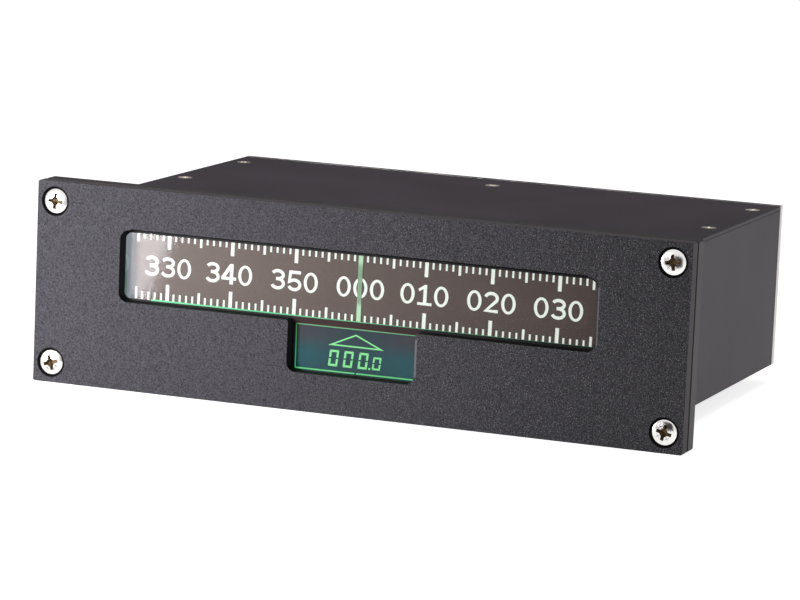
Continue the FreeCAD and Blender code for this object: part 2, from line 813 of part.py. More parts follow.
def make_press_nuts():
    """Press nuts behind the tray's lips and rear tabs, for the cover and rear screws."""
    nuts = []
    lip_ends = (f"{COVER_UNDER} - sheet_thickness - nut_height", f"{COVER_UNDER} - sheet_thickness")
    for number, (across, back) in enumerate(COVER_SCREW_PLACES):
        shell = prism(f"lip_nut_{number}", "nut_radius", across, back, lip_ends)
        bore = prism(f"lip_nut_bore_{number}", "small_shank + seat_gap", across, back, lip_ends)
        nuts.append(cut(f"lip_nut_bored_{number}", shell, [bore]))
    tab_ends = (f"{REAR_INSIDE} - sheet_thickness - nut_height", f"{REAR_INSIDE} - sheet_thickness")
    for number, (across, up) in enumerate(REAR_SCREW_PLACES):
        shell = prism_back(f"tab_nut_{number}", "nut_radius", across, tab_ends, up)
        bore = prism_back(f"tab_nut_bore_{number}", "small_shank + seat_gap", across, tab_ends, up)
        nuts.append(cut(f"tab_nut_bored_{number}", shell, [bore]))
    return piece(group("press_nut_group", nuts), "press_nuts")


def pillar_places():
    """Where the four deck pillars stand."""
    rows = (("pillar_front_span", "pillar_front"), ("pillar_rear_span", "pillar_rear"))
    return [(f"{side}{span} / 2", back) for side in ("-", "") for span, back in rows]


def shell_profile(name, inset, back, grow="0"):
    """A D-shaped bar of the connector's shell, wider at the top than at the bottom."""
    half = f"(shell_width / 2 + {grow} - ({inset}))"
    height = f"(shell_height / 2 + {grow} - ({inset}))"
    body = new_body(name)
    outline = sketch_on(body, "XZ_Plane", f"{name}_outline")
    polygon(outline, [
        (f"-{half} + shell_height * shell_slant_share", f"-{height}"),
        (f"{half} - shell_height * shell_slant_share", f"-{height}"),
        (half, height),
        (f"-{half}", height),
    ])
    pad(body, outline, f"{name}_bar", f"({back[1]}) - ({back[0]})")
    place(body, "-socket_offset", back[1], "-socket_below")
    return body


def jack_places():
    """Where the two jack posts stand beside the connector."""
    return [(f"-socket_offset {side} jack_span / 2", "-socket_below") for side in ("-", "+")]


def make_rear_panel():
    """The plate that closes the housing, with the connector's cut-out, screw holes and stud hole."""
    through = (REAR_INSIDE, "housing_depth")
    plate = block(
        "rear_plate", ("-housing_width / 2", "housing_width / 2"), through,
        ("-housing_height / 2", "housing_height / 2"))
    holes = [shell_profile("rear_socket_cut", "0", through, "shell_clearance")]
    holes += [
        prism_back(f"rear_hole_{number}", "small_shank + small_clearance", across, through, up)
        for number, (across, up) in enumerate(REAR_SCREW_PLACES + jack_places())]
    holes.append(rod_back(
        "rear_stud_hole", "stud_radius + small_clearance", "stud_offset", through, "-socket_below"))
    return piece(cut("rear_panel_cut", plate, holes), "rear_panel")


def display_screw_places():
    """Where the display's two screws run."""
    return [(f"{side}display_screw_span / 2", "-display_screw_below") for side in ("-", "")]


def make_deck():
    """The folded deck under the tape, with two tabs that hold the display."""
    through = (DECK_UNDER, DECK_TOP)
    folds = ("deck_front", "deck_front + deck_thickness")
    solids = [block(
        "deck_sheet", ("-deck_width / 2", "deck_width / 2"), ("deck_front", "deck_rear"), through)]
    for name, ends in (("left", ("-tab_outer", "-tab_inner")), ("right", ("tab_inner", "tab_outer"))):
        solids.append(block(f"deck_{name}_tab", ends, folds, ("-holder_below", DECK_TOP)))
    drum, idler, motor = train_places()
    holes = [
        prism("deck_bush_hole", "bush_radius", *drum, through, FINE),
        prism("deck_motor_hole", bore_for("motor_shaft + small_clearance"), *motor, through, FINE)]
    holes += [
        prism(f"deck_screw_hole_{number}", "small_shank + small_clearance", across, back, through)
        for number, (across, back) in enumerate(pillar_places() + motor_screw_places())]
    holes += [
        prism_back(f"deck_display_hole_{number}", "small_shank + small_clearance", across, folds, up)
        for number, (across, up) in enumerate(display_screw_places())]
    return piece(cut("deck_drilled", fuse("deck_folded", solids), holes), "mechanism_deck")


def roller_places():
    """Where each roller on a fixed post turns, as it lies in the loop."""
    return {
        "front_left_roller": ("-right_axis", "front_axis"),
        "front_right_roller": ("right_axis", "front_axis"),
        "rear_left_roller": ("-right_axis", "rear_axis"),
        "left_return_roller": ("-2 * return_pitch", "return_axis"),
        "right_return_roller": ("2 * return_pitch", "return_axis"),
    }


def train_places():
    """The axes of the drum, the idler gear and the motor."""
    first = "(gear_module * (drum_teeth + idler_teeth) / 2)"
    second = "(gear_module * (idler_teeth + pinion_teeth) / 2)"
    idler = (
        f"(right_axis + {first} * cos(train_angle))",
        f"(rear_axis - {first} * sin(train_angle))")
    motor = (
        f"({idler[0]} + {second} * cos(pinion_angle))",
        f"({idler[1]} - {second} * sin(pinion_angle))")
    return ("right_axis", "rear_axis"), idler, motor


def motor_screw_places():
    """Where the motor's four screws come up through the deck."""
    across, back = train_places()[2]
    return [
        (f"{across} {side} motor_screw_span / 2", f"{back} {depth} motor_screw_span / 2")
        for side in ("-", "+") for depth in ("-", "+")]


def arm_pivot():
    """Where the tension arm turns."""
    return ("-arm_length", "tension_axis")


def tape_turns():
    """Each turn of the tape in its order from the front middle: centre, pitch radius, start and sweep."""
    wide = measured("pitch_radius")
    tight = measured("return_pitch")
    side = measured("right_axis")
    front = measured("front_axis")
    rear = measured("rear_axis")
    inner = measured("return_axis")
    fold = measured("tension_axis")
    quarter = math.pi / 2
    return [
        (Vector(side, front), wide, -quarter, quarter),
        (Vector(side, rear), wide, 0, quarter),
        (Vector(2 * tight, inner), tight, quarter, quarter),
        (Vector(0, fold), tight, 0, -2 * quarter),
        (Vector(-2 * tight, inner), tight, 0, quarter),
        (Vector(-side, rear), wide, quarter, quarter),
        (Vector(-side, front), wide, 2 * quarter, quarter),
    ]


def on_circle(centre, radius, angle):
    """The point of a circle at an angle."""
    return centre + Vector(radius * math.cos(angle), radius * math.sin(angle))


def tape_wire(offset):
    """The closed line that lies an offset outside the tape's pitch line."""
    rounded = []
    for centre, radius, start, sweep in tape_turns():
        bent = radius + offset * math.copysign(1, sweep)
        points = [on_circle(centre, bent, start + sweep * share) for share in (0, 0.5, 1)]
        rounded.append(points)
    edges = []
    for index, (first, between, last) in enumerate(rounded):
        edges.append(Part.Arc(first, between, last).toShape())
        following = rounded[(index + 1) % len(rounded)][0]
        edges.append(Part.makeLine(last, following))
    return Part.Wire(edges)


def along_tape(distance):
    """The point of the pitch line at a distance from the front middle, and the way it runs there."""
    here = Vector(0, measured("front_run"))
    left = distance
    for centre, radius, start, sweep in tape_turns():
        entry = on_circle(centre, radius, start)
        run = (entry - here).Length
        if left <= run:
            way = (entry - here).normalize()
            return here + way * left, math.atan2(way.y, way.x)
        left -= run
        arc = abs(sweep) * radius
        if left <= arc:
            angle = start + math.copysign(left / radius, sweep)
            return on_circle(centre, radius, angle), angle + math.copysign(math.pi / 2, sweep)
        left -= arc
        here = on_circle(centre, radius, start + sweep)
    way = (Vector(0, here.y) - here).normalize()
    return here + way * left, math.atan2(way.y, way.x)


def slot_in_tape(distance, length, height, level):
    """A box that cuts a hole of a given size through the tape."""
    depth = sheet.pane_gap + sheet.tape_thickness
    box = Part.makeBox(length, 2 * depth, height, Vector(-length / 2, -depth, -height / 2))
    point, heading = along_tape(distance)
    box.rotate(Vector(0, 0, 0), Vector(0, 0, 1), math.degrees(heading))
    box.translate(Vector(point.x, point.y, level))
    return box


def notch_distance():
    """How far round the loop the zero notch lies, in the sensor's slot when the heading is zero."""
    before_side = measured("right_axis + pi / 2 * pitch_radius")
    back_along_side = measured("sensor_place - front_axis")
    return sheet.hole_count * sheet.hole_pitch - before_side - back_along_side


def make_tape():
    """The endless tape with its row of perforations and the notch that marks zero."""
    half = sheet.tape_thickness / 2
    foot = measured("-tape_foot")
    top = measured("tape_top")
    ring = Part.makeFace([tape_wire(half), tape_wire(-half)], "Part::FaceMakerBullseye")
    band = ring.extrude(Vector(0, 0, top - foot))
    band.translate(Vector(0, 0, foot))
    level = top - sheet.hole_drop
    slots = [
        slot_in_tape(index * sheet.hole_pitch, sheet.hole_length, sheet.hole_height, level)
        for index in range(round(sheet.hole_count))]
    slots.append(slot_in_tape(notch_distance(), sheet.notch_length, 2 * sheet.notch_height, foot))
    tape = doc.addObject("Part::Feature", "heading_tape")
    tape.Shape = band.cut(slots)
    return piece(tape, "heading_tape")


def revolve(body, sketch, name):
    """Turn a sketch round its upright axis."""
    feature = body.newObject("PartDesign::Revolution", name)
    feature.Profile = sketch
    feature.ReferenceAxis = (sketch, ["V_Axis"])
    feature.Angle = FULL_TURN
    return feature


ROLLER_FOOT = f"({DECK_TOP} + roller_lift)"


def make_roller(label, radius, across, back, foot=ROLLER_FOOT):
    """A plain moulded roller that turns on a post."""
    ends = (foot, "roller_top")
    bar = rod(f"{label}_bar", radius, across, back, ends)
    bore = prism(f"{label}_bore", bore_for("post_radius + running_gap"), across, back, ends, FINE)
    return piece(cut(f"{label}_bored", bar, [bore]), label)


def polar(body, feature, name, count):
    """Repeat a feature round the body's upright axis."""
    pattern = body.newObject("PartDesign::PolarPattern", name)
    pattern.Originals = [feature]
    axis = next(item for item in body.Origin.OriginFeatures if item.Role == "Z_Axis")
    pattern.Axis = (axis, [""])
    pattern.Angle = FULL_TURN
    pattern.setExpression("Occurrences", linked(count))
    body.Tip = pattern
    return pattern


def make_drive_drum():
    """The sprocket drum: a roller with a ring of teeth that enter the tape's perforations."""
    body = new_body("drum_body")
    section = sketch_on(body, "XZ_Plane", "drum_section")
    rectangle(section, "0", "guide_radius", ROLLER_FOOT, "roller_top")
    revolve(body, section, "drum_turned")
    tooth = sketch_on(body, "XY_Plane", "drum_tooth")
    tooth.setExpression(
        "AttachmentOffset.Base.z", linked("tape_top - hole_drop - tooth_width / 2"))
    outside = "(guide_radius + tape_gap + tape_thickness)"
    crest = f"({outside} + tooth_rise)"
    polygon(tooth, [
        ("guide_radius - tooth_root", "-tooth_length / 2"),
        (outside, "-tooth_length / 2"),
        (crest, "-tooth_length / 2 * tooth_point_share"),
        (crest, "tooth_length / 2 * tooth_point_share"),
        (outside, "tooth_length / 2"),
        ("guide_radius - tooth_root", "tooth_length / 2"),
    ])
    raised = pad(body, tooth, "drum_tooth_pad", "tooth_width")
    polar(body, raised, "drum_teeth", "sprocket_count")
    before_drum = measured("right_axis + rear_axis - front_axis")
    phase = math.degrees(-before_drum / measured("pitch_radius")) - 90
    body.Placement.Rotation = FreeCAD.Rotation(Vector(0, 0, 1), phase)
    place(body, "right_axis", "rear_axis")
    bore = prism(
        "drum_bore", "shaft_radius + seat_gap", "right_axis", "rear_axis", (ROLLER_FOOT, "roller_top"), FINE)
    return piece(cut("drum_bored", body, [bore]), "drive_drum")


GEAR_TOP = f"({DECK_UNDER} - gear_drop)"
GEAR_FOOT = f"({GEAR_TOP} - gear_face)"


def make_gear(label, teeth, bore, turn, across, back):
    """A spur gear under the deck. Each space widens faster beyond the pitch circle, as involutes do."""
    pitch = f"(gear_module * {teeth} / 2)"
    root = f"({pitch} - gear_module * gear_root_share)"
    tip = f"({pitch} + gear_module * gear_clear_share)"
    lean = f"tan(pressure_angle + 90 / {teeth})"
    bend = f"(1 / ({teeth} * sin(pressure_angle)))"
    half = "(pi * gear_module / 4 + gear_backlash / 2)"
    root_half = f"({half} - gear_module * gear_root_share * ({lean} - {bend}))"
    tip_half = f"({half} + gear_module * gear_clear_share * ({lean} + {bend}))"
    body = new_body(f"{label}_body")
    blank = sketch_on(body, "XY_Plane", f"{label}_blank")
    circle(blank, f"{pitch} + gear_module", "0", "0")
    pad(body, blank, f"{label}_disc", "gear_face")
    gap = sketch_on(body, "XY_Plane", f"{label}_gap")
    polygon(gap, [
        (root, f"-{root_half}"),
        (pitch, f"-{half}"),
        (tip, f"-{tip_half}"),
        (tip, tip_half),
        (pitch, half),
        (root, root_half),
    ])
    sunk = pocket_through(body, gap, f"{label}_space")
    polar(body, sunk, f"{label}_teeth", teeth)
    body.Placement.Rotation = FreeCAD.Rotation(Vector(0, 0, 1), turn)
    place(body, across, back, GEAR_FOOT)
    hole = prism(f"{label}_bore", bore, across, back, (GEAR_FOOT, GEAR_TOP), FINE)
    return piece(cut(f"{label}_bored", body, [hole]), label)


def make_gear_train():
    """The drum's gear, the idler and the motor's pinion, turned so that teeth stand in gaps."""
    drum, idler, motor = train_places()
    towards_idler = -sheet.train_angle
    towards_motor = -sheet.pinion_angle
    drum_step = FULL_TURN / sheet.drum_teeth
    idler_step = FULL_TURN / sheet.idler_teeth
    drum_turn = towards_idler - drum_step / 2
    idler_turn = towards_idler + FULL_TURN / 2
    tooth_lead = (idler_turn + idler_step / 2 - towards_motor) % idler_step
    pinion_turn = towards_motor + FULL_TURN / 2 - tooth_lead * sheet.idler_teeth / sheet.pinion_teeth
    make_gear("drum_gear", "drum_teeth", "shaft_radius + seat_gap", drum_turn, *drum)
    make_gear("idler_gear", "idler_teeth", bore_for("post_radius + running_gap"), idler_turn, *idler)
    make_gear("motor_pinion", "pinion_teeth", "motor_shaft + seat_gap", pinion_turn, *motor)


def make_drum_shaft():
    """The drum's headed steel shaft and its bronze bush in the deck."""
    drum = train_places()[0]
    bar = prism("drum_shaft_bar", "shaft_radius", *drum, (GEAR_FOOT, "roller_top"), FINE)
    head = prism("drum_shaft_head", "shaft_head", *drum, ("roller_top", "roller_top + shaft_head_height"))
    piece(fuse("drum_shaft_headed", [bar, head]), "drum_shaft")
    ends = (f"{GEAR_TOP} + bush_stand", f"{ROLLER_FOOT} - bush_stand / 2")
    sleeve = prism("bush_sleeve", "bush_radius - seat_gap", *drum, ends, FINE)
    bore = prism("bush_bore", bore_for("shaft_radius + running_gap"), *drum, ends, FINE)
    piece(cut("bush_bored", sleeve, [bore]), "drum_bush")


ARM_FOOT = f"({DECK_TOP} + arm_gap)"
ARM_TOP = f"({ARM_FOOT} + arm_thickness)"


def clip(name, across, back, low):
    """A six-sided spring ring that snaps on a post."""
    ends = (low, f"{low} + clip_height")
    ring = prism(name, "clip_radius", across, back, ends)
    hole = prism(f"{name}_bore", bore_for("post_radius + seat_gap", HEXAGON), across, back, ends)
    return cut(f"{name}_bored", ring, [hole])


def make_posts():
    """The fixed posts welded to the deck, and the clips that keep rollers, gear and arm on them."""
    clip_low = "roller_top + clip_gap"
    post_top = f"{clip_low} + clip_height + clip_gap"
    spots = list(roller_places().values())
    posts = [
        prism(f"post_{number}", "post_radius", across, back, (DECK_TOP, post_top), FINE)
        for number, (across, back) in enumerate(spots)]
    piece(group("post_group", posts), "roller_posts")
    idler = train_places()[1]
    idler_low = f"{GEAR_FOOT} - clip_gap - clip_height"
    arm_low = f"{ARM_TOP} + clip_gap"
    stud = prism("idler_stud", "post_radius", *idler, (f"{idler_low} - clip_gap", DECK_UNDER), FINE)
    pivot = prism(
        "arm_pivot", "post_radius", *arm_pivot(), (DECK_TOP, f"{arm_low} + clip_height + clip_gap"), FINE)
    piece(group("stud_group", [stud, pivot]), "pivot_studs")
    clips = [
        clip(f"post_clip_{number}", across, back, clip_low) for number, (across, back) in enumerate(spots)]
    clips.append(clip("idler_clip", *idler, idler_low))
    clips.append(clip("arm_clip", *arm_pivot(), arm_low))
    piece(group("clip_group", clips), "retaining_clips")


def make_tension_arm():
    """The arm that swings the tension roller, with the roller's post."""
    levels = (ARM_FOOT, ARM_TOP)
    tip = ("0", "tension_axis")
    link = block(
        "arm_link", ("-arm_length", "0"),
        ("tension_axis - arm_round", "tension_axis + arm_round"), levels)
    ends = [
        prism("arm_pivot_end", "arm_round", *arm_pivot(), levels, FINE),
        prism("arm_roller_end", "arm_round", *tip, levels, FINE)]
    tab = block(
        "arm_tab", ("-arm_tab_inset - arm_tab_width", "-arm_tab_inset"),
        ("tension_axis + arm_round - arm_tab_thickness", "tension_axis + arm_round"),
        (ARM_FOOT, f"{ARM_TOP} + arm_tab_rise"))
    hole = prism("arm_hole", bore_for("post_radius + running_gap"), *arm_pivot(), levels, FINE)
    piece(cut("arm_bored", fuse("arm_solid", [link, *ends, tab]), [hole]), "tension_arm")
    clip_low = "roller_top + clip_gap"
    post = prism(
        "tension_post_bar", "post_radius", *tip, (ARM_TOP, f"{clip_low} + clip_height + clip_gap"), FINE)
    top_clip = prism("tension_post_clip", "clip_radius", *tip, (clip_low, f"{clip_low} + clip_height"))
    piece(fuse("tension_post_solid", [post, top_clip]), "tension_post")


def make_tension_spring():
    """The leaf spring that presses on the arm's tab, and the slotted clamp that holds it."""
    tip = "(-arm_tab_inset - arm_tab_width / 2)"
    root = f"({tip} - leaf_length)"
    front = "(tension_axis + arm_round + leaf_gap)"
    rear = f"({front} + leaf_thickness)"
    foot = f"({ARM_TOP} + arm_gap)"
    piece(block("leaf", (root, tip), (front, rear), (foot, f"{foot} + leaf_height")), "tension_spring")
    cheek = "(clamp_depth - leaf_thickness) / 2"
    clamp = block(
        "clamp_solid", (root, f"{root} + clamp_width"), (f"{front} - {cheek}", f"{rear} + {cheek}"),
        (DECK_TOP, f"{DECK_TOP} + clamp_height"))
    slit = block(
        "clamp_slit", (root, f"{root} + clamp_width"), (f"{front} - seat_gap", f"{rear} + seat_gap"),
        (f"{foot} - seat_gap", f"{DECK_TOP} + clamp_height"))
    piece(cut("clamp_slotted", clamp, [slit]), "spring_clamp")


def make_motor():
    """The stepper motor on the deck, with its shaft and its four screws."""
    motor = train_places()[2]
    across, back = motor
    case = block(
        "motor_case", (f"{across} - motor_width / 2", f"{across} + motor_width / 2"),
        (f"{back} - motor_width / 2", f"{back} + motor_width / 2"),
        (DECK_TOP, f"{DECK_TOP} + motor_height"))
    doc.recompute()
    bevelled = doc.addObject("Part::Chamfer", "motor_bevelled")
    bevelled.Base = case
    upright = [
        number for number, edge in enumerate(case.Shape.Edges, start=1)
        if abs(edge.tangentAt(edge.FirstParameter).z) > math.cos(math.radians(1))]
    bevelled.Edges = [(number, sheet.motor_corner, sheet.motor_corner) for number in upright]
    bore = prism(
        "motor_bore", bore_for("motor_shaft + running_gap"), *motor,
        (DECK_TOP, f"{DECK_TOP} + motor_bore_depth"), FINE)
    bites = [
        prism(
            f"motor_screw_hole_{number}", "small_shank + seat_gap", *spot,
            (DECK_TOP, f"{DECK_TOP} + motor_screw_bite"))
        for number, spot in enumerate(motor_screw_places())]
    piece(cut("motor_bored", bevelled, [bore, *bites]), "stepper_motor")
    shaft = prism(
        "motor_shaft_bar", "motor_shaft", *motor,
        (GEAR_FOOT, f"{DECK_TOP} + motor_bore_depth - clip_gap"), FINE)
    piece(shaft, "motor_shaft")


def hexagon_screw(name, across, back, shank_ends, head_ends):
    """An upright hexagon-headed screw."""
    shank = prism(f"{name}_shank", "small_shank", across, back, shank_ends)
    head = prism(f"{name}_head", "small_head", across, back, head_ends)
    return fuse(name, [shank, head])


def make_motor_screws():
    """Four screws that come up through the deck into the motor."""
    screws = [
        hexagon_screw(
            f"motor_screw_{number}", across, back,
            (DECK_UNDER, f"{DECK_TOP} + motor_screw_bite - clip_gap"),
            (f"{DECK_UNDER} - small_head_height", DECK_UNDER))
        for number, (across, back) in enumerate(motor_screw_places())]
    return piece(group("motor_screw_group", screws), "motor_screws")


def make_zero_sensor():
    """The fork sensor that the tape's lower edge runs through."""
    across = "-(right_axis + pitch_radius)"
    ends = ("sensor_place - sensor_length / 2", "sensor_place + sensor_length / 2")
    case = block(
        "sensor_case", (f"{across} - sensor_width / 2", f"{across} + sensor_width / 2"), ends,
        (DECK_TOP, f"{DECK_TOP} + sensor_height"))
    slot = block(
        "sensor_slot_cut", (f"{across} - sensor_slot / 2", f"{across} + sensor_slot / 2"), ends,
        (f"{DECK_TOP} + sensor_floor", f"{DECK_TOP} + sensor_height"))
    return piece(cut("sensor_slotted", case, [slot]), "zero_sensor")


def make_pillars():
    """The four pillars pressed into the tray's floor, and the tall one under the cover's rear screw."""
    pillars = []
    for number, (across, back) in enumerate(pillar_places()):
        bar = prism(f"pillar_{number}", "pillar_radius", across, back, (FLOOR, DECK_UNDER))
        bore = prism(
            f"pillar_bore_{number}", "small_shank + seat_gap", across, back,
            (f"{DECK_UNDER} - pillar_screw_bite - clip_gap", DECK_UNDER))
        pillars.append(cut(f"pillar_bored_{number}", bar, [bore]))
    piece(group("pillar_group", pillars), "deck_pillars")
    middle_screw = ("0", "cover_screw_rear")
    bar = prism("cover_pillar_bar", "cover_pillar_radius", *middle_screw, (DECK_TOP, COVER_UNDER))
    bore = prism(
        "cover_pillar_bore", "small_shank + seat_gap", *middle_screw,
        (f"{COVER_UNDER} - cover_screw_bite - clip_gap", COVER_UNDER))
    piece(cut("cover_pillar_bored", bar, [bore]), "cover_pillar")


def make_pillar_screws():
    """Four screws that hold the deck on its pillars."""
    screws = [
        hexagon_screw(
            f"pillar_screw_{number}", across, back, (f"{DECK_UNDER} - pillar_screw_bite", DECK_TOP),
            (DECK_TOP, f"{DECK_TOP} + small_head_height"))
        for number, (across, back) in enumerate(pillar_places())]
    return piece(group("pillar_screw_group", screws), "pillar_screws")


def make_window_parts():
    """The clear pane, the lubber line behind it and the light bar below it."""
    ends = ("-window_width / 2 - pane_lap", "window_width / 2 + pane_lap")
    depths = (PANE_FRONT, FLANGE_FRONT)
    piece(block("pane_sheet", ends, depths, ("-pane_below", "pane_above")), "tape_pane")
    piece(block("light_strip", ends, depths, ("-bar_below", "-pane_below - seat_gap")), "light_bar")
    piece(block(
        "line_strip", ("-line_width / 2", "line_width / 2"),
        (FLANGE_FRONT, f"{FLANGE_FRONT} + line_thickness"), ("-pane_below", "window_above")), "lubber_line")


def make_display():
    """The display glass, its holder and backlight, its board, and the two screws that hold them."""
    rear = f"({FLANGE_FRONT} + holder_thickness)"
    light_front = f"({rear} - backlight_depth)"
    sill = "(-glass_above - (glass_below - glass_above) * sill_share)"
    across = ("-holder_width / 2", "holder_width / 2")
    up = ("-holder_below", "-holder_above")
    piece(block(
        "glass_sheet", ("-glass_width / 2", "glass_width / 2"),
        (f"{FLANGE_FRONT} - glass_thickness", FLANGE_FRONT), ("-glass_below", "-glass_above")),
        "display_glass")
    holes = [block(
        "holder_cavity", ("-glass_width / 2", "glass_width / 2"), (light_front, rear),
        ("-glass_below", sill))]
    holes += [
        prism_back(f"holder_hole_{number}", "small_shank + seat_gap", spot, (light_front, rear), level)
        for number, (spot, level) in enumerate(display_screw_places())]
    piece(cut("holder_hollow", block("holder_frame", across, (FLANGE_FRONT, rear), up), holes),
          "display_holder")
    piece(block(
        "light_panel", ("-glass_width / 2 + backlight_gap", "glass_width / 2 - backlight_gap"),
        (f"{light_front} + backlight_gap", rear),
        ("-glass_below + backlight_gap", f"{sill} - backlight_gap")), "backlight")
    board_ends = (rear, f"{rear} + board_thickness")
    board_holes = [
        prism_back(f"display_board_hole_{number}", "small_shank + small_clearance", spot, board_ends, level)
        for number, (spot, level) in enumerate(display_screw_places())]
    piece(cut("display_board_drilled", block("display_sheet", across, board_ends, up), board_holes),
          "display_board")
    screws = []
    head_from = "deck_front + deck_thickness"
    for number, (spot, level) in enumerate(display_screw_places()):
        shank = prism_back(
            f"display_shank_{number}", "small_shank", spot, (f"{light_front} + backlight_gap", head_from),
            level)
        head = prism_back(
            f"display_head_{number}", "small_head", spot, (head_from, f"{head_from} + small_head_height"),
            level)
        screws.append(fuse(f"display_screw_{number}", [shank, head]))
    piece(group("display_screw_group", screws), "display_screws")


BOARD_FOOT = f"({FLOOR} + spacer_height)"
BOARD_TOP = f"({BOARD_FOOT} + board_thickness)"


def make_board_and_spacers():
    """The control board, held on four snap-in spacers."""
    places = [
        (across, back)
        for across in ("-control_left + spacer_inset", "control_right - spacer_inset")
        for back in ("control_front + spacer_inset", "control_rear - spacer_inset")]
    sheet_solid = block(
        "control_sheet", ("-control_left", "control_right"), ("control_front", "control_rear"),
        (BOARD_FOOT, BOARD_TOP))
    holes = []
    spacers = []
    for number, (across, back) in enumerate(places):
        holes.append(prism(
            f"control_hole_{number}", "small_shank + small_clearance", across, back,
            (BOARD_FOOT, BOARD_TOP)))
        foot = prism(f"spacer_foot_{number}", "spacer_radius", across, back, (FLOOR, BOARD_FOOT))
        stem = prism(f"spacer_stem_{number}", "small_shank", across, back, (BOARD_FOOT, BOARD_TOP))
        cap = prism(
            f"spacer_cap_{number}", "small_head", across, back, (BOARD_TOP, f"{BOARD_TOP} + spacer_cap"))
        spacers.append(fuse(f"spacer_{number}", [foot, stem, cap]))
    piece(cut("control_drilled", sheet_solid, holes), "control_board")
    piece(group("spacer_group", spacers), "board_spacers")


def make_board_parts():
    """The control board's larger components."""
    centre = "((control_front + control_rear) / 2)"
    piece(block(
        "processor_case", ("-processor_width / 2", "processor_width / 2"),
        (f"{centre} - processor_width / 2", f"{centre} + processor_width / 2"),
        (BOARD_TOP, f"{BOARD_TOP} + processor_height")), "processor")
    cans = [
        prism(
            f"capacitor_{number}", "capacitor_radius", f"-control_left / 2 + {number} * capacitor_pitch",
            "control_rear - 4 * capacitor_radius", (BOARD_TOP, f"{BOARD_TOP} + capacitor_height"), FINE)
        for number in range(2)]
    piece(group("capacitor_group", cans), "capacitors")
    left = "-control_left + 3 * spacer_inset"
    levels = (BOARD_TOP, f"{BOARD_TOP} + regulator_height")
    piece(block(
        "regulator_case", (left, f"{left} + regulator_width"), (centre, f"{centre} + regulator_depth"),
        levels), "regulator")
    depths = (f"{centre} - sink_base", centre)
    solids = [block("sink_plate", (left, f"{left} + sink_width"), depths, levels)]
    for number in range(4):
        edge = f"{left} + {number} * (sink_width - sink_base) / 3"
        solids.append(block(
            f"sink_fin_{number}", (edge, f"{edge} + sink_base"),
            (f"{centre} - sink_base - sink_fin", f"{centre} - sink_base"), levels))
    piece(fuse("sink_solid", solids), "heat_sink")


def make_headers_and_cable():
    """The two headers and the flat cable that joins the boards."""
    across = ("-header_width / 2", "header_width / 2")
    display_rear = f"({FLANGE_FRONT} + holder_thickness + board_thickness)"
    levels = (BOARD_TOP, f"{BOARD_TOP} + header_height")
    starts = (display_rear, "(control_front + header_inset)")
    headers = [
        block(f"header_{number}", across, (start, f"{start} + header_depth"), levels)
        for number, start in enumerate(starts)]
    piece(group("header_group", headers), "cable_headers")
    start = measured(f"{display_rear} + header_depth")
    finish = measured("control_front + header_inset")
    level = measured(f"{BOARD_TOP} + header_height / 2")
    half = sheet.ribbon_thickness / 2
    half_width = sheet.ribbon_width / 2
    edges = []
    for offset in (-half, half):
        ends = [Vector(-half_width, depth, level + offset) for depth in (start, finish)]
        low = Vector(-half_width, (start + finish) / 2, level + offset - sheet.ribbon_sag)
        edges.append(Part.Arc(ends[0], low, ends[1]).toShape())
    for depth in (start, finish):
        edges.append(Part.makeLine(
            Vector(-half_width, depth, level - half), Vector(-half_width, depth, level + half)))
    profile = Part.Face(Part.Wire(Part.sortEdges(edges)[0]))
    cable = doc.addObject("Part::Feature", "flat_cable")
    cable.Shape = profile.extrude(Vector(sheet.ribbon_width, 0, 0))
    return piece(cable, "flat_cable")


def make_rear_connector():
    """The rear socket with its insulator, and the jack posts that hold it to the panel."""
    plate_front = f"({REAR_INSIDE} - socket_flange_thickness)"
    shell_rear = f"({REAR_INSIDE} + shell_reach)"
    plate = block(
        "socket_flange",
        ("-socket_offset - socket_flange_width / 2", "-socket_offset + socket_flange_width / 2"),
        (plate_front, REAR_INSIDE),
        ("-socket_below - socket_flange_height / 2", "-socket_below + socket_flange_height / 2"))
    shell = shell_profile("socket_shell", "0", (plate_front, shell_rear))
    holes = [shell_profile("socket_hollow", "shell_wall", (plate_front, shell_rear))]
    for number, (across, up) in enumerate(jack_places()):
        holes.append(prism_back(
            f"socket_hole_{number}", "small_shank + seat_gap", across, (plate_front, REAR_INSIDE), up))
    piece(cut("socket_open", fuse("socket_solid", [plate, shell]), holes), "signal_connector")
    core = shell_profile(
        "insulator_core", "shell_wall + seat_gap", (plate_front, f"{shell_rear} - shell_wall"))
    heel = block(
        "insulator_heel", ("-socket_offset - shell_width / 2", "-socket_offset + shell_width / 2"),
        (f"{plate_front} - socket_body_depth", plate_front),
        ("-socket_below - shell_height / 2", "-socket_below + shell_height / 2"))
    piece(fuse("insulator_solid", [core, heel]), "connector_insulator")
    posts = []
    head_ends = ("housing_depth", "housing_depth + jack_length")
    shank_ends = (f"{plate_front} - clip_height", "housing_depth")
    for number, (across, up) in enumerate(jack_places()):
        head = prism_back(f"jack_head_{number}", "jack_radius", across, head_ends, up)
        shank = prism_back(f"jack_shank_{number}", "small_shank", across, shank_ends, up)
        posts.append(fuse(f"jack_post_{number}", [head, shank]))
    piece(group("jack_group", posts), "jack_posts")


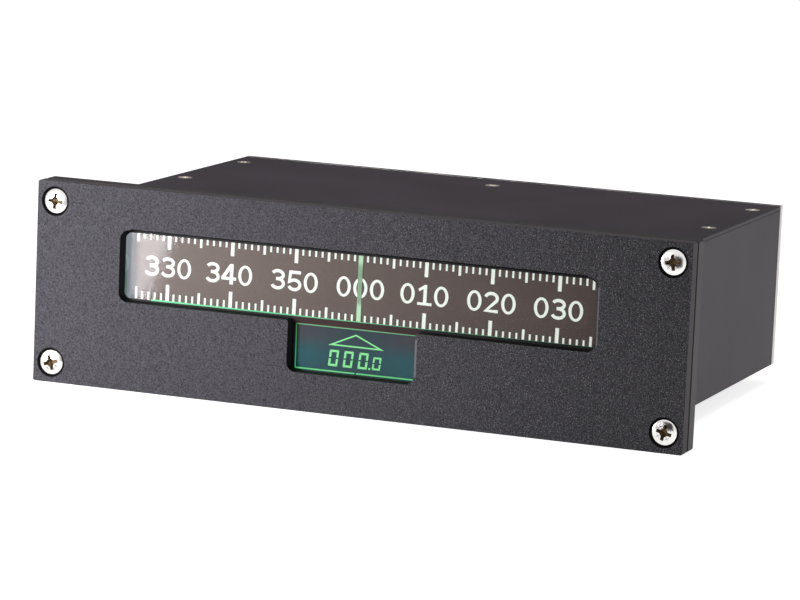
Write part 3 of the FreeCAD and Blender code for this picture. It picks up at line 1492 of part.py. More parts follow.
def make_earth_stud():
    """The earthing stud through the rear panel, with a nut on each side."""
    bare_from = "housing_depth + stud_nut_height + stud_runout"
    root = prism_back(
        "earth_root", "stud_radius", "stud_offset", (f"{REAR_INSIDE} - stud_root", bare_from),
        "-socket_below", FINE)
    bare = rod_back(
        "earth_bar", "stud_radius", "stud_offset", (bare_from, "housing_depth + stud_reach"),
        "-socket_below")
    piece(fuse("earth_stud_solid", [root, bare]), "earth_stud")
    nuts = []
    for number, low in enumerate((f"{REAR_INSIDE} - stud_nut_height", "housing_depth")):
        ends = (low, f"{low} + stud_nut_height")
        nut = prism_back(f"earth_flats_{number}", "stud_nut_radius", "stud_offset", ends, "-socket_below")
        bore = prism_back(
            f"earth_nut_bore_{number}", bore_for("stud_radius + seat_gap"), "stud_offset", ends,
            "-socket_below", FINE)
        nuts.append(cut(f"earth_nut_{number}", nut, [bore]))
    piece(group("earth_nut_group", nuts), "earth_nuts")


def hand_over():
    """Check every object, then write each sub-part under its own name."""
    doc.recompute()
    faults = [thing.Name for thing in doc.Objects if "Invalid" in thing.State or "Error" in thing.State]
    if faults:
        raise RuntimeError(f"objects in a bad state: {faults}")
    for thing in pieces:
        if thing.Shape.isNull() or not thing.Shape.isValid():
            raise RuntimeError(f"{thing.Label} has no valid shape")
    os.makedirs("parts", exist_ok=True)
    for thing in pieces:
        thing.Shape.exportStep(f"parts/{thing.Label}.step")
    print(len(pieces), "sub-parts written")


make_front_plate()
make_panel_gasket()
make_mounting_flange()
make_console_screws()
make_base_tray()
make_top_cover()
make_cover_screws()
make_rear_panel()
make_rear_screws()
make_press_nuts()
make_deck()
make_pillars()
make_pillar_screws()
make_window_parts()
make_display()
for label, (across, back) in roller_places().items():
    make_roller(label, "return_radius" if "return" in label else "guide_radius", across, back)
make_roller("tension_roller", "return_radius", "0", "tension_axis", f"({ARM_TOP} + clip_gap)")
make_drive_drum()
make_drum_shaft()
make_gear_train()
make_posts()
make_tension_arm()
make_tension_spring()
make_motor()
make_motor_screws()
make_tape()
make_zero_sensor()
make_board_and_spacers()
make_board_parts()
make_headers_and_cable()
make_rear_connector()
make_earth_stud()
hand_over()
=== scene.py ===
import math
import random

import bmesh
import bpy
from mathutils import Matrix, Vector
from mathutils.geometry import tessellate_polygon


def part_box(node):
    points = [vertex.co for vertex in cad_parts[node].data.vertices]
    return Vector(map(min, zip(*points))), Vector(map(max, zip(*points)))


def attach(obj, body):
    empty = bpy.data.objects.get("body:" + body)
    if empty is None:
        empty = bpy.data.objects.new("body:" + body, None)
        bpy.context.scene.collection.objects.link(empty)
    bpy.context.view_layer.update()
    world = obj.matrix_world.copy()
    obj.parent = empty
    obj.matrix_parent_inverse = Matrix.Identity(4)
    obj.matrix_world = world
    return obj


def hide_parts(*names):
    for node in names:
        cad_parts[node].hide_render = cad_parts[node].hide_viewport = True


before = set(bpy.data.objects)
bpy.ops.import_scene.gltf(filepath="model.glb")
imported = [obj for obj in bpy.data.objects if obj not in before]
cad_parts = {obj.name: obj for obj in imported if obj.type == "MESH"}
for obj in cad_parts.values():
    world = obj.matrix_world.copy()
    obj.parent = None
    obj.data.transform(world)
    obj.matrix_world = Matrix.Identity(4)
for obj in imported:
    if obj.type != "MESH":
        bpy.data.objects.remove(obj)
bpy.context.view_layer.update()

mm = 0.001

# The studio: the repeater stands on a pale table, seen a little from its right and from
# above through a long lens. The surround is plain white. A small lamp stands low at the
# front left, and two large soft ones light the right side and the top.
scene = bpy.context.scene
scene.view_settings.view_transform = "Standard"

eye = Vector((506.8, -1288.5, 230.3)) * mm
ahead = Vector((-0.3533, 0.9215, -0.1615)).normalized()
rightward = Vector((0.9303, 0.3642, 0.0427))
rightward = (rightward - ahead * rightward.dot(ahead)).normalized()
upward = rightward.cross(ahead)
camera = bpy.data.objects.new("camera", bpy.data.cameras.new("camera"))
camera.data.sensor_width = 36.0
camera.data.lens = 182.115
camera.data.clip_start = 0.05
camera.data.clip_end = 30.0
facing_way = Matrix((rightward, upward, -ahead)).transposed().to_4x4()
camera.matrix_world = Matrix.Translation(eye) @ facing_way
scene.collection.objects.link(camera)
scene.camera = camera


def put(finish, node, sockets):
    """Sets a node's sockets in a finish, or links them. A node stands for its first output."""
    if isinstance(node, str):
        node = finish.node_tree.nodes[node]
    for socket, value in sockets.items():
        into = node.inputs[socket]
        if isinstance(value, bpy.types.Node):
            value = value.outputs[0]
        if isinstance(value, bpy.types.NodeSocket):
            finish.node_tree.links.new(value, into)
        else:
            into.default_value = (*value, 1.0) if into.type == "RGBA" else value
    return node


def shade(finish, sockets):
    """Sets or links the sockets of a finish's main shader."""
    put(finish, "Principled BSDF", sockets)


def add(finish, kind, sockets=None, **settings):
    """One more node in a finish, with its settings and its sockets."""
    node = finish.node_tree.nodes.new(kind)
    for setting, value in settings.items():
        setattr(node, setting, value)
    return put(finish, node, sockets or {})


def lit_up(finish, tone, strength):
    """Makes a finish shine by itself."""
    shade(finish, {"Emission Color": tone, "Emission Strength": strength})


def given(finish, node, output=0):
    """What a named node of a finish gives."""
    return finish.node_tree.nodes[node].outputs[output]


def maths(finish, operation, *values):
    """The result of a sum on numbers and on what nodes give."""
    return add(finish, "ShaderNodeMath", dict(enumerate(values)), operation=operation)


def ranged(finish, value, start, end, low=0.0, high=1.0):
    """A number that runs from low to high while a value runs from start to end."""
    return add(finish, "ShaderNodeMapRange", {
        "Value": value, "From Min": start, "From Max": end, "To Min": low, "To Max": high})


def plain(name, sockets):
    """A finish of one even tone."""
    finish = bpy.data.materials.new(name)
    finish.use_nodes = True
    shade(finish, sockets)
    return finish


def unshaded(name):
    """A finish with no shader yet, only the node that tells where a point lies."""
    finish = bpy.data.materials.new(name)
    finish.use_nodes = True
    finish.node_tree.nodes.clear()
    add(finish, "ShaderNodeTexCoord", name="place")
    return finish


def spot_in(finish):
    """Where a point lies in millimetres, as the outputs X, Y and Z."""
    scaled = add(finish, "ShaderNodeVectorMath", {
        0: given(finish, "place", "Object"), "Scale": 1 / mm}, operation="SCALE")
    return add(finish, "ShaderNodeSeparateXYZ", {0: scaled}).outputs


def seen_ray(finish):
    """1 where a ray from the camera looks, straight or by way of gloss or glass, else 0."""
    path = add(finish, "ShaderNodeLightPath").outputs
    either = maths(finish, "MAXIMUM", path["Is Camera Ray"], path["Is Glossy Ray"])
    return maths(finish, "MAXIMUM", either, path["Is Transmission Ray"])


surround = bpy.data.worlds.new("surround")
surround.use_nodes = True
scene.world = surround
put(surround, "Background", {"Color": (1.0, 1.0, 1.0),
                             "Strength": ranged(surround, seen_ray(surround), 0, 1, 0.34, 1.0)})


def studio_sheet(name, corners, finish):
    """A flat four-cornered sheet of the studio, from points in millimetres."""
    mesh = bpy.data.meshes.new(name)
    mesh.from_pydata([Vector(corner) * mm for corner in corners], [], [(0, 1, 2, 3)])
    mesh.materials.append(finish)
    sheet = bpy.data.objects.new(name, mesh)
    scene.collection.objects.link(sheet)
    return sheet


table_level = -36.02
table_top = plain("table top", {"Base Color": (0.80, 0.80, 0.80), "Roughness": 0.9,
                                "Specular IOR Level": 0.0, "Emission Color": (1.0, 1.0, 1.0)})
shade(table_top, {"Emission Strength": ranged(table_top, seen_ray(table_top), 0, 1, 0.0, 0.73)})
table_top.cycles.emission_sampling = "NONE"
studio_sheet("table", [(-6000, -6000, table_level), (6000, -6000, table_level),
                       (6000, 9000, table_level), (-6000, 9000, table_level)], table_top)


def lamp(name, place, aim, width, height, power, grid=180):
    """A soft lamp that shines from a place towards a point, within a grid's angle in degrees."""
    light = bpy.data.lights.new(name, "AREA")
    light.shape = "RECTANGLE"
    light.size = width * mm
    light.size_y = height * mm
    light.energy = power
    light.spread = math.radians(grid)
    holder = bpy.data.objects.new(name, light)
    holder.location = Vector(place) * mm
    holder.rotation_euler = (Vector(aim) - Vector(place)).to_track_quat("-Z", "Y").to_euler()
    scene.collection.objects.link(holder)


lamp("front left lamp", (-300, -640, 140), (-112, 0, 5), 160, 160, 0.31, 40)
lamp("right lamp", (1300, 300, 500), (60, 60, 0), 700, 600, 3.3)
lamp("top lamp", (0, 0, 1500), (0, 60, 0), 900, 900, 5.6)

# The card and the flag: a bright card stands low beside the lens. It is what the window's
# left end mirrors, and its glow fades towards the right. A black cloth behind the repeater
# darkens what its top mirrors. Only gloss can see either.
card_lean, card_edge, halo_end = -0.388, -137.0, 140.0


def screen(name, finish, left, right, foot, top, depth):
    """An upright studio sheet that nothing but gloss can see."""
    sheet = studio_sheet(name, [(left, depth, foot), (right, depth, foot), (right, depth, top),
                                (left, depth, top)], finish)
    sheet.visible_camera = sheet.visible_diffuse = False
    sheet.visible_shadow = sheet.visible_transmission = False


card_face = unshaded("card face")
card_spot = spot_in(card_face)
leaning = maths(card_face, "MULTIPLY_ADD", card_spot["Z"], card_lean, card_spot["X"])
board = ranged(card_face, leaning, card_edge - 2.4, card_edge, 14.5, 0.0)
halo = maths(card_face, "POWER", ranged(card_face, leaning, card_edge, halo_end, 1.15, 0.0), 2.0)
bright = add(card_face, "ShaderNodeEmission", {"Color": (1.0, 0.955, 0.995),
                                               "Strength": maths(card_face, "ADD", board, halo)})
add(card_face, "ShaderNodeOutputMaterial", {"Surface": bright})
screen("card", card_face, left=-300, right=160, foot=-34, top=60, depth=-160)

black_cloth = plain("black cloth", {"Base Color": (0.02, 0.02, 0.02), "Specular IOR Level": 0.0})
screen("flag", black_cloth, left=-2600, right=1500, foot=20, top=1800, depth=1900)

# Base tray, top cover and mounting flange: folded and machined steel sheet, degreased and
# sprayed with a thin satin black paint that lets the sheet's faint orange peel show. The
# tray's front tabs are spot-welded to the flange.


def blended(finish, share, one, two, kind="MIX"):
    """A share of one colour over another."""
    return add(finish, "ShaderNodeMixRGB", {"Fac": share, "Color1": one, "Color2": two},
               blend_type=kind)


def noise(finish, scale, detail=2.0, roughness=0.5, place=None):
    """A noise over the part, finer as its scale grows."""
    return add(finish, "ShaderNodeTexNoise", {
        "Vector": place or given(finish, "place", "Object"), "Scale": scale, "Detail": detail,
        "Roughness": roughness})


def mottled(name, grain, dark, light, rough, relief, metallic=0.0, stretch=(1.0, 1.0, 1.0),
            gloss=0.5, detail=4.0, cloud=28.0, spread=(0.6, 1.4)):
    """A finish whose colour, roughness and relief vary together, with a grain in millimetres."""
    finish = plain(name, {"Metallic": metallic, "Specular IOR Level": gloss})
    place = add(finish, "ShaderNodeTexCoord", name="place").outputs["Object"]
    scaled = add(finish, "ShaderNodeMapping", {
        "Vector": place, "Scale": [share / (grain * mm) for share in stretch]})
    speckle = noise(finish, 1.0, detail, 0.65, scaled)
    both = maths(finish, "ADD", speckle, noise(finish, cloud, 3.0))
    tint = add(finish, "ShaderNodeValToRGB", {"Fac": ranged(finish, both, *spread)}, name="tint")
    tint.color_ramp.elements[0].color = (*dark, 1.0)
    tint.color_ramp.elements[1].color = (*light, 1.0)
    bump = add(finish, "ShaderNodeBump", {
        "Height": speckle, "Strength": 1.0, "Distance": relief * mm}, name="bump")
    shade(finish, {"Base Color": tint, "Normal": bump,
                   "Roughness": ranged(finish, both, 0.6, 1.4, *rough)})
    return finish


def worn(finish, bare, size, share):
    """Small rubs and dust marks over a finish, where another colour shows."""
    spots = ranged(finish, noise(finish, 1.0 / (size * mm), 6.0, 0.75), share, share + 0.04)
    shade(finish, {"Base Color": blended(finish, spots, given(finish, "tint"), bare)})


def dress(names, finish, rounding=0.0):
    """Gives CAD pieces their finish, and rounds their edges by so many millimetres."""
    for name in names:
        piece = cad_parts[name]
        for place in piece.material_slots:
            place.material = finish
        if rounding:
            joined = piece.modifiers.new("joined corners", "WELD")
            joined.merge_threshold = 0.002 * mm
            edge = piece.modifiers.new("rounded edges", "BEVEL")
            edge.width = rounding * mm
            edge.segments = 2
            edge.limit_method = "ANGLE"
            edge.angle_limit = math.radians(38)
            edge.harden_normals = True


satin_paint = mottled("satin black paint", 0.9, (0.046, 0.040, 0.047), (0.060, 0.052, 0.061),
                      (0.46, 0.56), 0.006, gloss=0.10)
worn(satin_paint, (0.11, 0.10, 0.10), 0.7, 0.74)
dress(["base_tray", "top_cover"], satin_paint, 0.25)

flange_paint = mottled("flange black paint", 0.8, (0.040, 0.036, 0.038), (0.054, 0.048, 0.052),
                       (0.44, 0.54), 0.006, gloss=0.15)
worn(flange_paint, (0.14, 0.13, 0.12), 0.7, 0.73)
dress(["mounting_flange"], flange_paint, 0.25)

# Rear panel: a 3 mm aluminium sheet, drawn over a fine abrasive belt and left bare under a
# clear passivation. It closes the tray's back.
brushed_sheet = mottled("brushed aluminium sheet", 0.35, (0.36, 0.34, 0.33), (0.56, 0.54, 0.52),
                        (0.26, 0.42), 0.004, metallic=1.0, stretch=(0.03, 0.03, 1.0))
worn(brushed_sheet, (0.22, 0.20, 0.19), 0.8, 0.74)
dress(["rear_panel"], brushed_sheet)

# Cover and rear screws: M3 zinc-plated steel. The cover's have sunk heads with a cross
# recess and the rear panel's have hexagon heads. They run into press nuts in the folds, and
# the cover's rear middle one into a pillar.


def steel(name, tone, rough, grain=0.25):
    """Plated steel of one tone, with faint plating marks."""
    return mottled(name, grain, tuple(0.78 * part for part in tone), tone, rough, 0.002,
                   metallic=1.0)


def piece_of(name, mesh, finish, body, slot, *stands_for):
    """A new object that rides on a body and replaces the CAD pieces it stands for. The slot is not
    used.
    """
    piece = bpy.data.objects.new(name, mesh)
    scene.collection.objects.link(piece)
    mesh.materials.clear()
    mesh.materials.append(finish)
    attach(piece, body)
    if stands_for:
        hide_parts(*stands_for)
    return piece


def meshed(shape, name, outward=True):
    """The mesh of a shape that is complete, with its faces turned outwards."""
    if outward:
        bmesh.ops.recalc_face_normals(shape, faces=shape.faces)
    mesh = bpy.data.meshes.new(name)
    shape.to_mesh(mesh)
    shape.free()
    return mesh


def skinned(shape, rings):
    """The walls between each ring of corners and the next. A ring may be a single point."""
    for low, high in zip(rings, rings[1:]):
        count = max(len(low), len(high))
        for k in range(count):
            after = (k + 1) % count
            if len(low) == 1:
                shape.faces.new((low[0], high[after], high[k]))
            elif len(high) == 1:
                shape.faces.new((low[k], low[after], high[0]))
            else:
                shape.faces.new((low[k], low[after], high[after], high[k]))


def turned(profile, sides=48):
    """A closed shape turned round +z from (radius, height) points in millimetres, axis to axis."""
    shape = bmesh.new()
    rings = []
    for radius, height in profile:
        angles = [math.tau * k / sides for k in range(sides if radius else 1)]
        rings.append([shape.verts.new((radius * mm * math.cos(angle), radius * mm * math.sin(angle),
                                       height * mm)) for angle in angles])
    skinned(shape, rings)
    return meshed(shape, "turned")


def smooth(mesh, sharp=35.0):
    """Smooth shading, broken at the sharp edges."""
    shape = bmesh.new()
    shape.from_mesh(mesh)
    for face in shape.faces:
        face.smooth = True
    for edge in shape.edges:
        edge.smooth = edge.is_manifold and edge.calc_face_angle(0.0) < math.radians(sharp)
    shape.to_mesh(mesh)
    shape.free()
    return mesh


def cross_cutter(reach, wing, depth, foot):
    """The tapered cross of a recess, to be cut down from height 0."""
    outline = []
    for k in range(4):
        c, d = math.cos(math.pi / 2 * k), math.sin(math.pi / 2 * k)
        outline += [(a * c - b * d, a * d + b * c)
                    for a, b in ((reach, -wing), (reach, wing), (wing, wing))]
    shape = bmesh.new()
    levels = [[shape.verts.new((x * share * mm, y * share * mm, height * mm)) for x, y in outline]
              for share, height in ((1, 2.0), (1, 0), (foot, -depth))]
    for upper, lower in zip(levels, levels[1:]):
        for k in range(len(outline)):
            after = (k + 1) % len(outline)
            shape.faces.new((upper[k], lower[k], lower[after], upper[after]))
    shape.faces.new(levels[0])
    shape.faces.new(reversed(levels[-1]))
    bmesh.ops.triangulate(shape, faces=shape.faces)
    return meshed(shape, "cross")


def cut(mesh, tool, tool_place=Matrix.Identity(4), work="DIFFERENCE"):
    """A mesh less another one, or joined with it, by an exact boolean."""
    body = bpy.data.objects.new("cut body", mesh)
    knife = bpy.data.objects.new("cut tool", tool)
    knife.matrix_world = tool_place
    scene.collection.objects.link(body)
    scene.collection.objects.link(knife)
    step = body.modifiers.new("cut", "BOOLEAN")
    step.operation = work
    step.solver = "EXACT"
    step.object = knife
    bpy.context.view_layer.update()
    seen = body.evaluated_get(bpy.context.evaluated_depsgraph_get())
    result = bpy.data.meshes.new_from_object(seen)
    bpy.data.objects.remove(body)
    bpy.data.objects.remove(knife)
    return result


def gathered(name, copies):
    """One mesh of several, each with its place."""
    shape = bmesh.new()
    for mesh, place in copies:
        start = len(shape.verts)
        shape.from_mesh(mesh)
        shape.verts.ensure_lookup_table()
        bmesh.ops.transform(shape, matrix=place, verts=shape.verts[start:])
    return meshed(shape, name, outward=False)


def standing(x, y, z, axis="Z", turn=0.0):
    """A place in millimetres for a shape turned round +z, whose top then looks along an axis."""
    looks = {"Z": 0, "-Y": math.pi / 2, "Y": -math.pi / 2}[axis]
    return (Matrix.Translation(Vector((x, y, z)) * mm) @ Matrix.Rotation(looks, 4, "X")
            @ Matrix.Rotation(turn, 4, "Z"))


random.seed(7)
zinc = steel("zinc-plated steel", (0.62, 0.61, 0.60), (0.22, 0.36))
sunk_head = smooth(cut(turned([(0, -5.4), (1.1, -5.4), (1.4, -5.1), (1.4, -1.3), (2.68, -0.06),
                               (2.72, -0.02), (2.62, 0), (0, 0)]),
                       cross_cutter(1.45, 0.36, 1.1, 0.45)))
cover_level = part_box("cover_screws")[1].z / mm - 0.02
cover_places = [(-101.3, 70.0), (101.3, 70.0), (-101.3, 124.49), (101.3, 124.49), (0.0, 124.49)]
piece_of("cover_screw_heads", gathered("cover screws", [
    (sunk_head, standing(x, y, cover_level, "Z", random.uniform(0, 1.5)))
    for x, y in cover_places]),
    steel("yellowed zinc plate", (0.80, 0.72, 0.64), (0.34, 0.50)), "housing", "bright_screw",
    "cover_screws")

hexagon = turned([(0, 0), (2.62, 0), (2.75, 0.1), (2.75, 1.55), (2.45, 1.75), (2.2, 1.8),
                  (0, 1.8)], 6)
shank_end = turned([(0, -5.9), (1.1, -5.9), (1.35, -5.6), (1.35, 0.05), (0, 0.05)], 24)
rear_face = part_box("rear_panel")[1].y / mm
piece_of("rear_screw_heads", gathered("rear screws", [
    (smooth(mesh, 25), standing(x, rear_face, z, "Y", random.uniform(0, 1)))
    for x in (-100.5, 100.5) for z in (-20.0, 20.0) for mesh in (hexagon, shank_end)]),
    zinc, "housing", "bright_screw", "rear_screws")
dress(["press_nuts"], steel("bright zinc", (0.55, 0.54, 0.52), (0.3, 0.45)))

# Deck, pillars, posts and arm: the mechanism's chassis of 2 mm zinc-plated steel sheet with
# turned steel pillars and posts, pressed or welded in, and held by small machine screws.
chassis = mottled("passivated zinc sheet", 0.5, (0.42, 0.40, 0.33), (0.60, 0.58, 0.48),
                  (0.30, 0.48), 0.004, metallic=1.0, stretch=(0.25, 1.0, 1.0))
worn(chassis, (0.30, 0.27, 0.20), 1.5, 0.66)
dress(["mechanism_deck", "deck_pillars", "cover_pillar", "tension_arm", "spring_clamp"], chassis,
      0.1)
dress(["pillar_screws", "motor_screws", "display_screws", "retaining_clips"],
      steel("bright zinc fasteners", (0.58, 0.57, 0.55), (0.25, 0.4)))
dress(["roller_posts", "pivot_studs", "tension_post", "drum_shaft", "motor_shaft"],
      mottled("ground steel", 0.3, (0.40, 0.40, 0.41), (0.60, 0.60, 0.61), (0.16, 0.30), 0.002,
              metallic=1.0, stretch=(1.0, 1.0, 0.05)))
dress(["tension_spring"], steel("blued spring steel", (0.20, 0.23, 0.33), (0.2, 0.35)))

# Gear train: hobbed brass wheels, a bronze bush and a brass pinion, with the fine circular
# marks of the facing tool on their sides.
brass = mottled("hobbed brass", 0.3, (0.48, 0.33, 0.12), (0.72, 0.52, 0.22), (0.22, 0.38), 0.003,
                metallic=1.0)
worn(brass, (0.30, 0.19, 0.07), 1.0, 0.67)
dress(["drum_gear", "idler_gear", "motor_pinion", "drum_bush"], brass)

# Rollers and sprocket drum: turned from black acetal rod, slightly waxy, with the lathe's
# fine rings.
dress(["front_left_roller", "front_right_roller", "rear_left_roller", "left_return_roller",
       "right_return_roller", "tension_roller", "drive_drum"],
      mottled("black acetal", 0.4, (0.022, 0.022, 0.024), (0.040, 0.039, 0.041), (0.36, 0.48),
              0.004, stretch=(0.3, 0.3, 3.0)))

# Stepper motor and heat sink: a stack of enamelled iron laminations, and a black anodised
# extrusion that stands against the regulator's face.
dress(["stepper_motor"], mottled(
    "enamelled laminations", 0.45, (0.030, 0.031, 0.034), (0.075, 0.076, 0.080), (0.34, 0.55),
    0.02, stretch=(0.05, 0.05, 1.0), metallic=0.4), 0.3)
dress(["heat_sink"], mottled(
    "black anodised extrusion", 0.3, (0.018, 0.018, 0.020), (0.035, 0.035, 0.038), (0.35, 0.5),
    0.004, metallic=0.5, stretch=(1.0, 1.0, 0.06)))

# Boards: green glass-fibre laminate with a solder mask, whose woven glass shows faintly.
# They carry moulded sockets and chips, sleeved capacitors and a flat grey cable. The zero
# sensor, the display's holder and the connector's insulator are moulded of the same plastic.
laminate = mottled("green board", 0.6, (0.010, 0.085, 0.035), (0.020, 0.150, 0.065), (0.25, 0.42),
                   0.004)
weave = add(laminate, "ShaderNodeTexWave", {
    "Vector": given(laminate, "place", "Object"), "Scale": 480.0, "Distortion": 3.0},
    bands_direction="DIAGONAL")
woven = add(laminate, "ShaderNodeBump", {
    "Height": weave.outputs["Fac"], "Strength": 0.35, "Distance": 0.01 * mm,
    "Normal": given(laminate, "bump")})
shade(laminate, {"Normal": woven})
dress(["control_board", "display_board"], laminate)

dress(["processor", "regulator", "cable_headers", "zero_sensor", "display_holder",
       "connector_insulator"],
      mottled("black moulded plastic", 0.35, (0.014, 0.014, 0.015), (0.028, 0.028, 0.030),
              (0.38, 0.55), 0.006))
dress(["board_spacers", "backlight"], mottled(
    "white nylon", 0.5, (0.62, 0.61, 0.56), (0.78, 0.77, 0.72), (0.35, 0.5), 0.004))
dress(["capacitors"], mottled(
    "blue sleeve", 0.4, (0.012, 0.022, 0.070), (0.022, 0.040, 0.120), (0.2, 0.32), 0.003))
dress(["flat_cable"], mottled("grey cable skin", 0.64, (0.30, 0.30, 0.31), (0.46, 0.46, 0.47),
                              (0.4, 0.55), 0.05, stretch=(1.0, 0.02, 0.02)))

# Signal connector, its jack posts and the earth stud: a tinned steel shell round a black
# insulator, two hexagon posts and a brass stud with its two nuts.
tinned = mottled("tinned steel", 0.4, (0.46, 0.45, 0.42), (0.66, 0.65, 0.61), (0.24, 0.40), 0.003,
                 metallic=1.0)
worn(tinned, (0.30, 0.28, 0.25), 0.9, 0.70)
dress(["signal_connector"], tinned, 0.2)
socket_x, socket_z, post_spacing = -15.0, -19.5, 33.3
contact_pitch, row_pitch = 2.77, 2.84

post_low, post_high = (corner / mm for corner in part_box("jack_posts"))
post_end = post_high.y - post_low.y
post_mesh = turned([(0, 0), (2.45, 0), (2.68, 0.25), (2.68, post_end - 0.3), (2.35, post_end),
                    (1.45, post_end), (1.25, post_end - 0.2), (1.25, post_end - 3.6),
                    (0, post_end - 4.2)], 6)
bore_mesh = turned([(0, post_end - 4.2), (1.22, post_end - 3.6), (1.22, post_end - 0.25),
                    (1.40, post_end - 0.02), (1.60, post_end - 0.01), (1.60, post_end - 0.6),
                    (1.44, post_end - 4.4), (0, post_end - 4.6)], 32)
posts = [(smooth(mesh, 25), standing(socket_x + side * post_spacing / 2, post_low.y, socket_z, "Y",
                                     0.4 + 0.5 * side))
         for side in (-1, 1) for mesh in (post_mesh, bore_mesh)]
piece_of("jack_post_pieces", gathered("jack posts", posts),
         steel("jack post plating", (0.62, 0.60, 0.56), (0.2, 0.34)),
         "housing", "plated_steel", "jack_posts")

stud_brass = mottled("stud brass", 0.3, (0.42, 0.30, 0.12), (0.66, 0.49, 0.22), (0.24, 0.42), 0.003,
                     metallic=1.0)
insulator_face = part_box("connector_insulator")[1].y / mm
contact = smooth(turned([(0, -0.6), (0.62, -0.6), (0.62, 0.10), (0.52, 0.16), (0.40, 0.10),
                         (0.40, -0.45), (0, -0.5)], 20), 30)
contacts = [(contact, standing(socket_x + (k - (count - 1) / 2) * contact_pitch, insulator_face,
                               socket_z + row, "Y"))
            for row, count in ((row_pitch / 2, 8), (-row_pitch / 2, 7)) for k in range(count)]
piece_of("signal_contacts", gathered("signal contacts", contacts), stud_brass, "housing",
         "gear_brass")
dress(["earth_nuts"], stud_brass, 0.15)

stud_low, stud_high = (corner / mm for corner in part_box("earth_stud"))
stud_x, stud_z = (stud_low.x + stud_high.x) / 2, (stud_low.z + stud_high.z) / 2


def threaded_rod(radius, long, pitch, depth, chamfer, sides=28):
    """A rod round +z with a helical V thread along its whole length and chamfered ends."""
    shape = bmesh.new()
    rows = []
    steps = int(long / pitch * 4)
    for k in range(steps + 1):
        level = long * k / steps
        row = []
        for n in range(sides):
            phase = (level / pitch + n / sides) % 1
            out = radius - depth * abs(2 * phase - 1)
            out = min(out, radius - chamfer + level, radius - chamfer + long - level)
            row.append(shape.verts.new((out * mm * math.cos(-math.tau * n / sides),
                                        out * mm * math.sin(-math.tau * n / sides), level * mm)))
        rows.append(row)
    skinned(shape, rows)
    shape.faces.new(rows[0])
    shape.faces.new(rows[-1])
    return meshed(shape, "threaded rod")


stud_mesh = threaded_rod(2.0, stud_high.y - stud_low.y, pitch=0.7, depth=0.38, chamfer=0.7)
piece_of("earth_stud_thread",
         gathered("earth stud", [(stud_mesh, standing(stud_x, stud_low.y, stud_z, "Y"))]),
         stud_brass, "housing", "gear_brass", "earth_stud")

# Heading tape: a loop of dark brown film, perforated along its upper edge, with the card's
# marks and figures screen-printed in white on its outer face.
dress(["heading_tape"], mottled("brown film", 2.2, (0.107, 0.069, 0.063), (0.131, 0.086, 0.080),
                                (0.45, 0.60), 0.003, gloss=0.2))

# Where the loop runs and bends, how long a degree is, and how far the film's run and the
# print on it stand askew.
face_line, half_film = -5.70, 0.125
mean_reach, return_reach = 11.55465, 8.275
front_y, rear_y, fold_y = 5.980, 122.939, 24.325
corner_x, return_x, return_y = 85.5, 16.55, 126.219
degree = 2.42
askew = 0.34
print_lean, print_middle = 0.014, 9.0


def leftward(angle):
    """The direction to the left of another one, seen from above."""
    return Vector((-math.sin(angle), math.cos(angle)))


def walked(run, radius, way, start, angle):
    """Where a run along a straight or a bend ends, and the angle there."""
    if not way:
        return start + Vector((math.cos(angle), math.sin(angle))) * run, angle
    centre = start + leftward(angle) * way * radius
    angle += way * run / radius
    return centre - leftward(angle) * way * radius, angle


def loop_sections():
    """The loop's runs and bends from heading 000 rightwards: length, radius, way, start, angle."""
    bend = math.pi / 2
    parts = [(corner_x, 0, 0), (mean_reach * bend, mean_reach, 1), (rear_y - front_y, 0, 0),
             (mean_reach * bend, mean_reach, 1), (corner_x - return_x, 0, 0),
             (return_reach * bend, return_reach, 1), (return_y - fold_y, 0, 0),
             (return_reach * 2 * bend, return_reach, -1), (return_y - fold_y, 0, 0),
             (return_reach * bend, return_reach, 1), (corner_x - return_x, 0, 0),
             (mean_reach * bend, mean_reach, 1), (rear_y - front_y, 0, 0),
             (mean_reach * bend, mean_reach, 1), (corner_x, 0, 0)]
    place = Vector((0.0, face_line + half_film))
    angle = 0.0
    made = []
    for part in parts:
        made.append((*part, place, angle))
        place, angle = walked(*part, place, angle)
    return made


sections = loop_sections()
loop_length = sum(part[0] for part in sections)


def section_at(run):
    """The section where a run from heading 000 ends, and how far into it: run, radius and so on."""
    run %= loop_length
    for length, radius, way, start, angle in sections:
        if run <= length:
            break
        run -= length
    return run, radius, way, start, angle


def on_bend(run):
    """Whether a run from heading 000 ends in one of the loop's bends."""
    return section_at(run)[2] != 0


def on_tape(run, height, lift):
    """The point at a run from heading 000 and a height, lift mm off the tape's printed face."""
    along = (run + print_lean * (height - print_middle)) % loop_length
    spot, angle = walked(*section_at(along))
    spot = spot - leftward(angle) * (half_film + lift)
    height -= askew * math.sin(2 * math.tau * along / loop_length)
    return Vector((spot.x, spot.y, height)) * mm


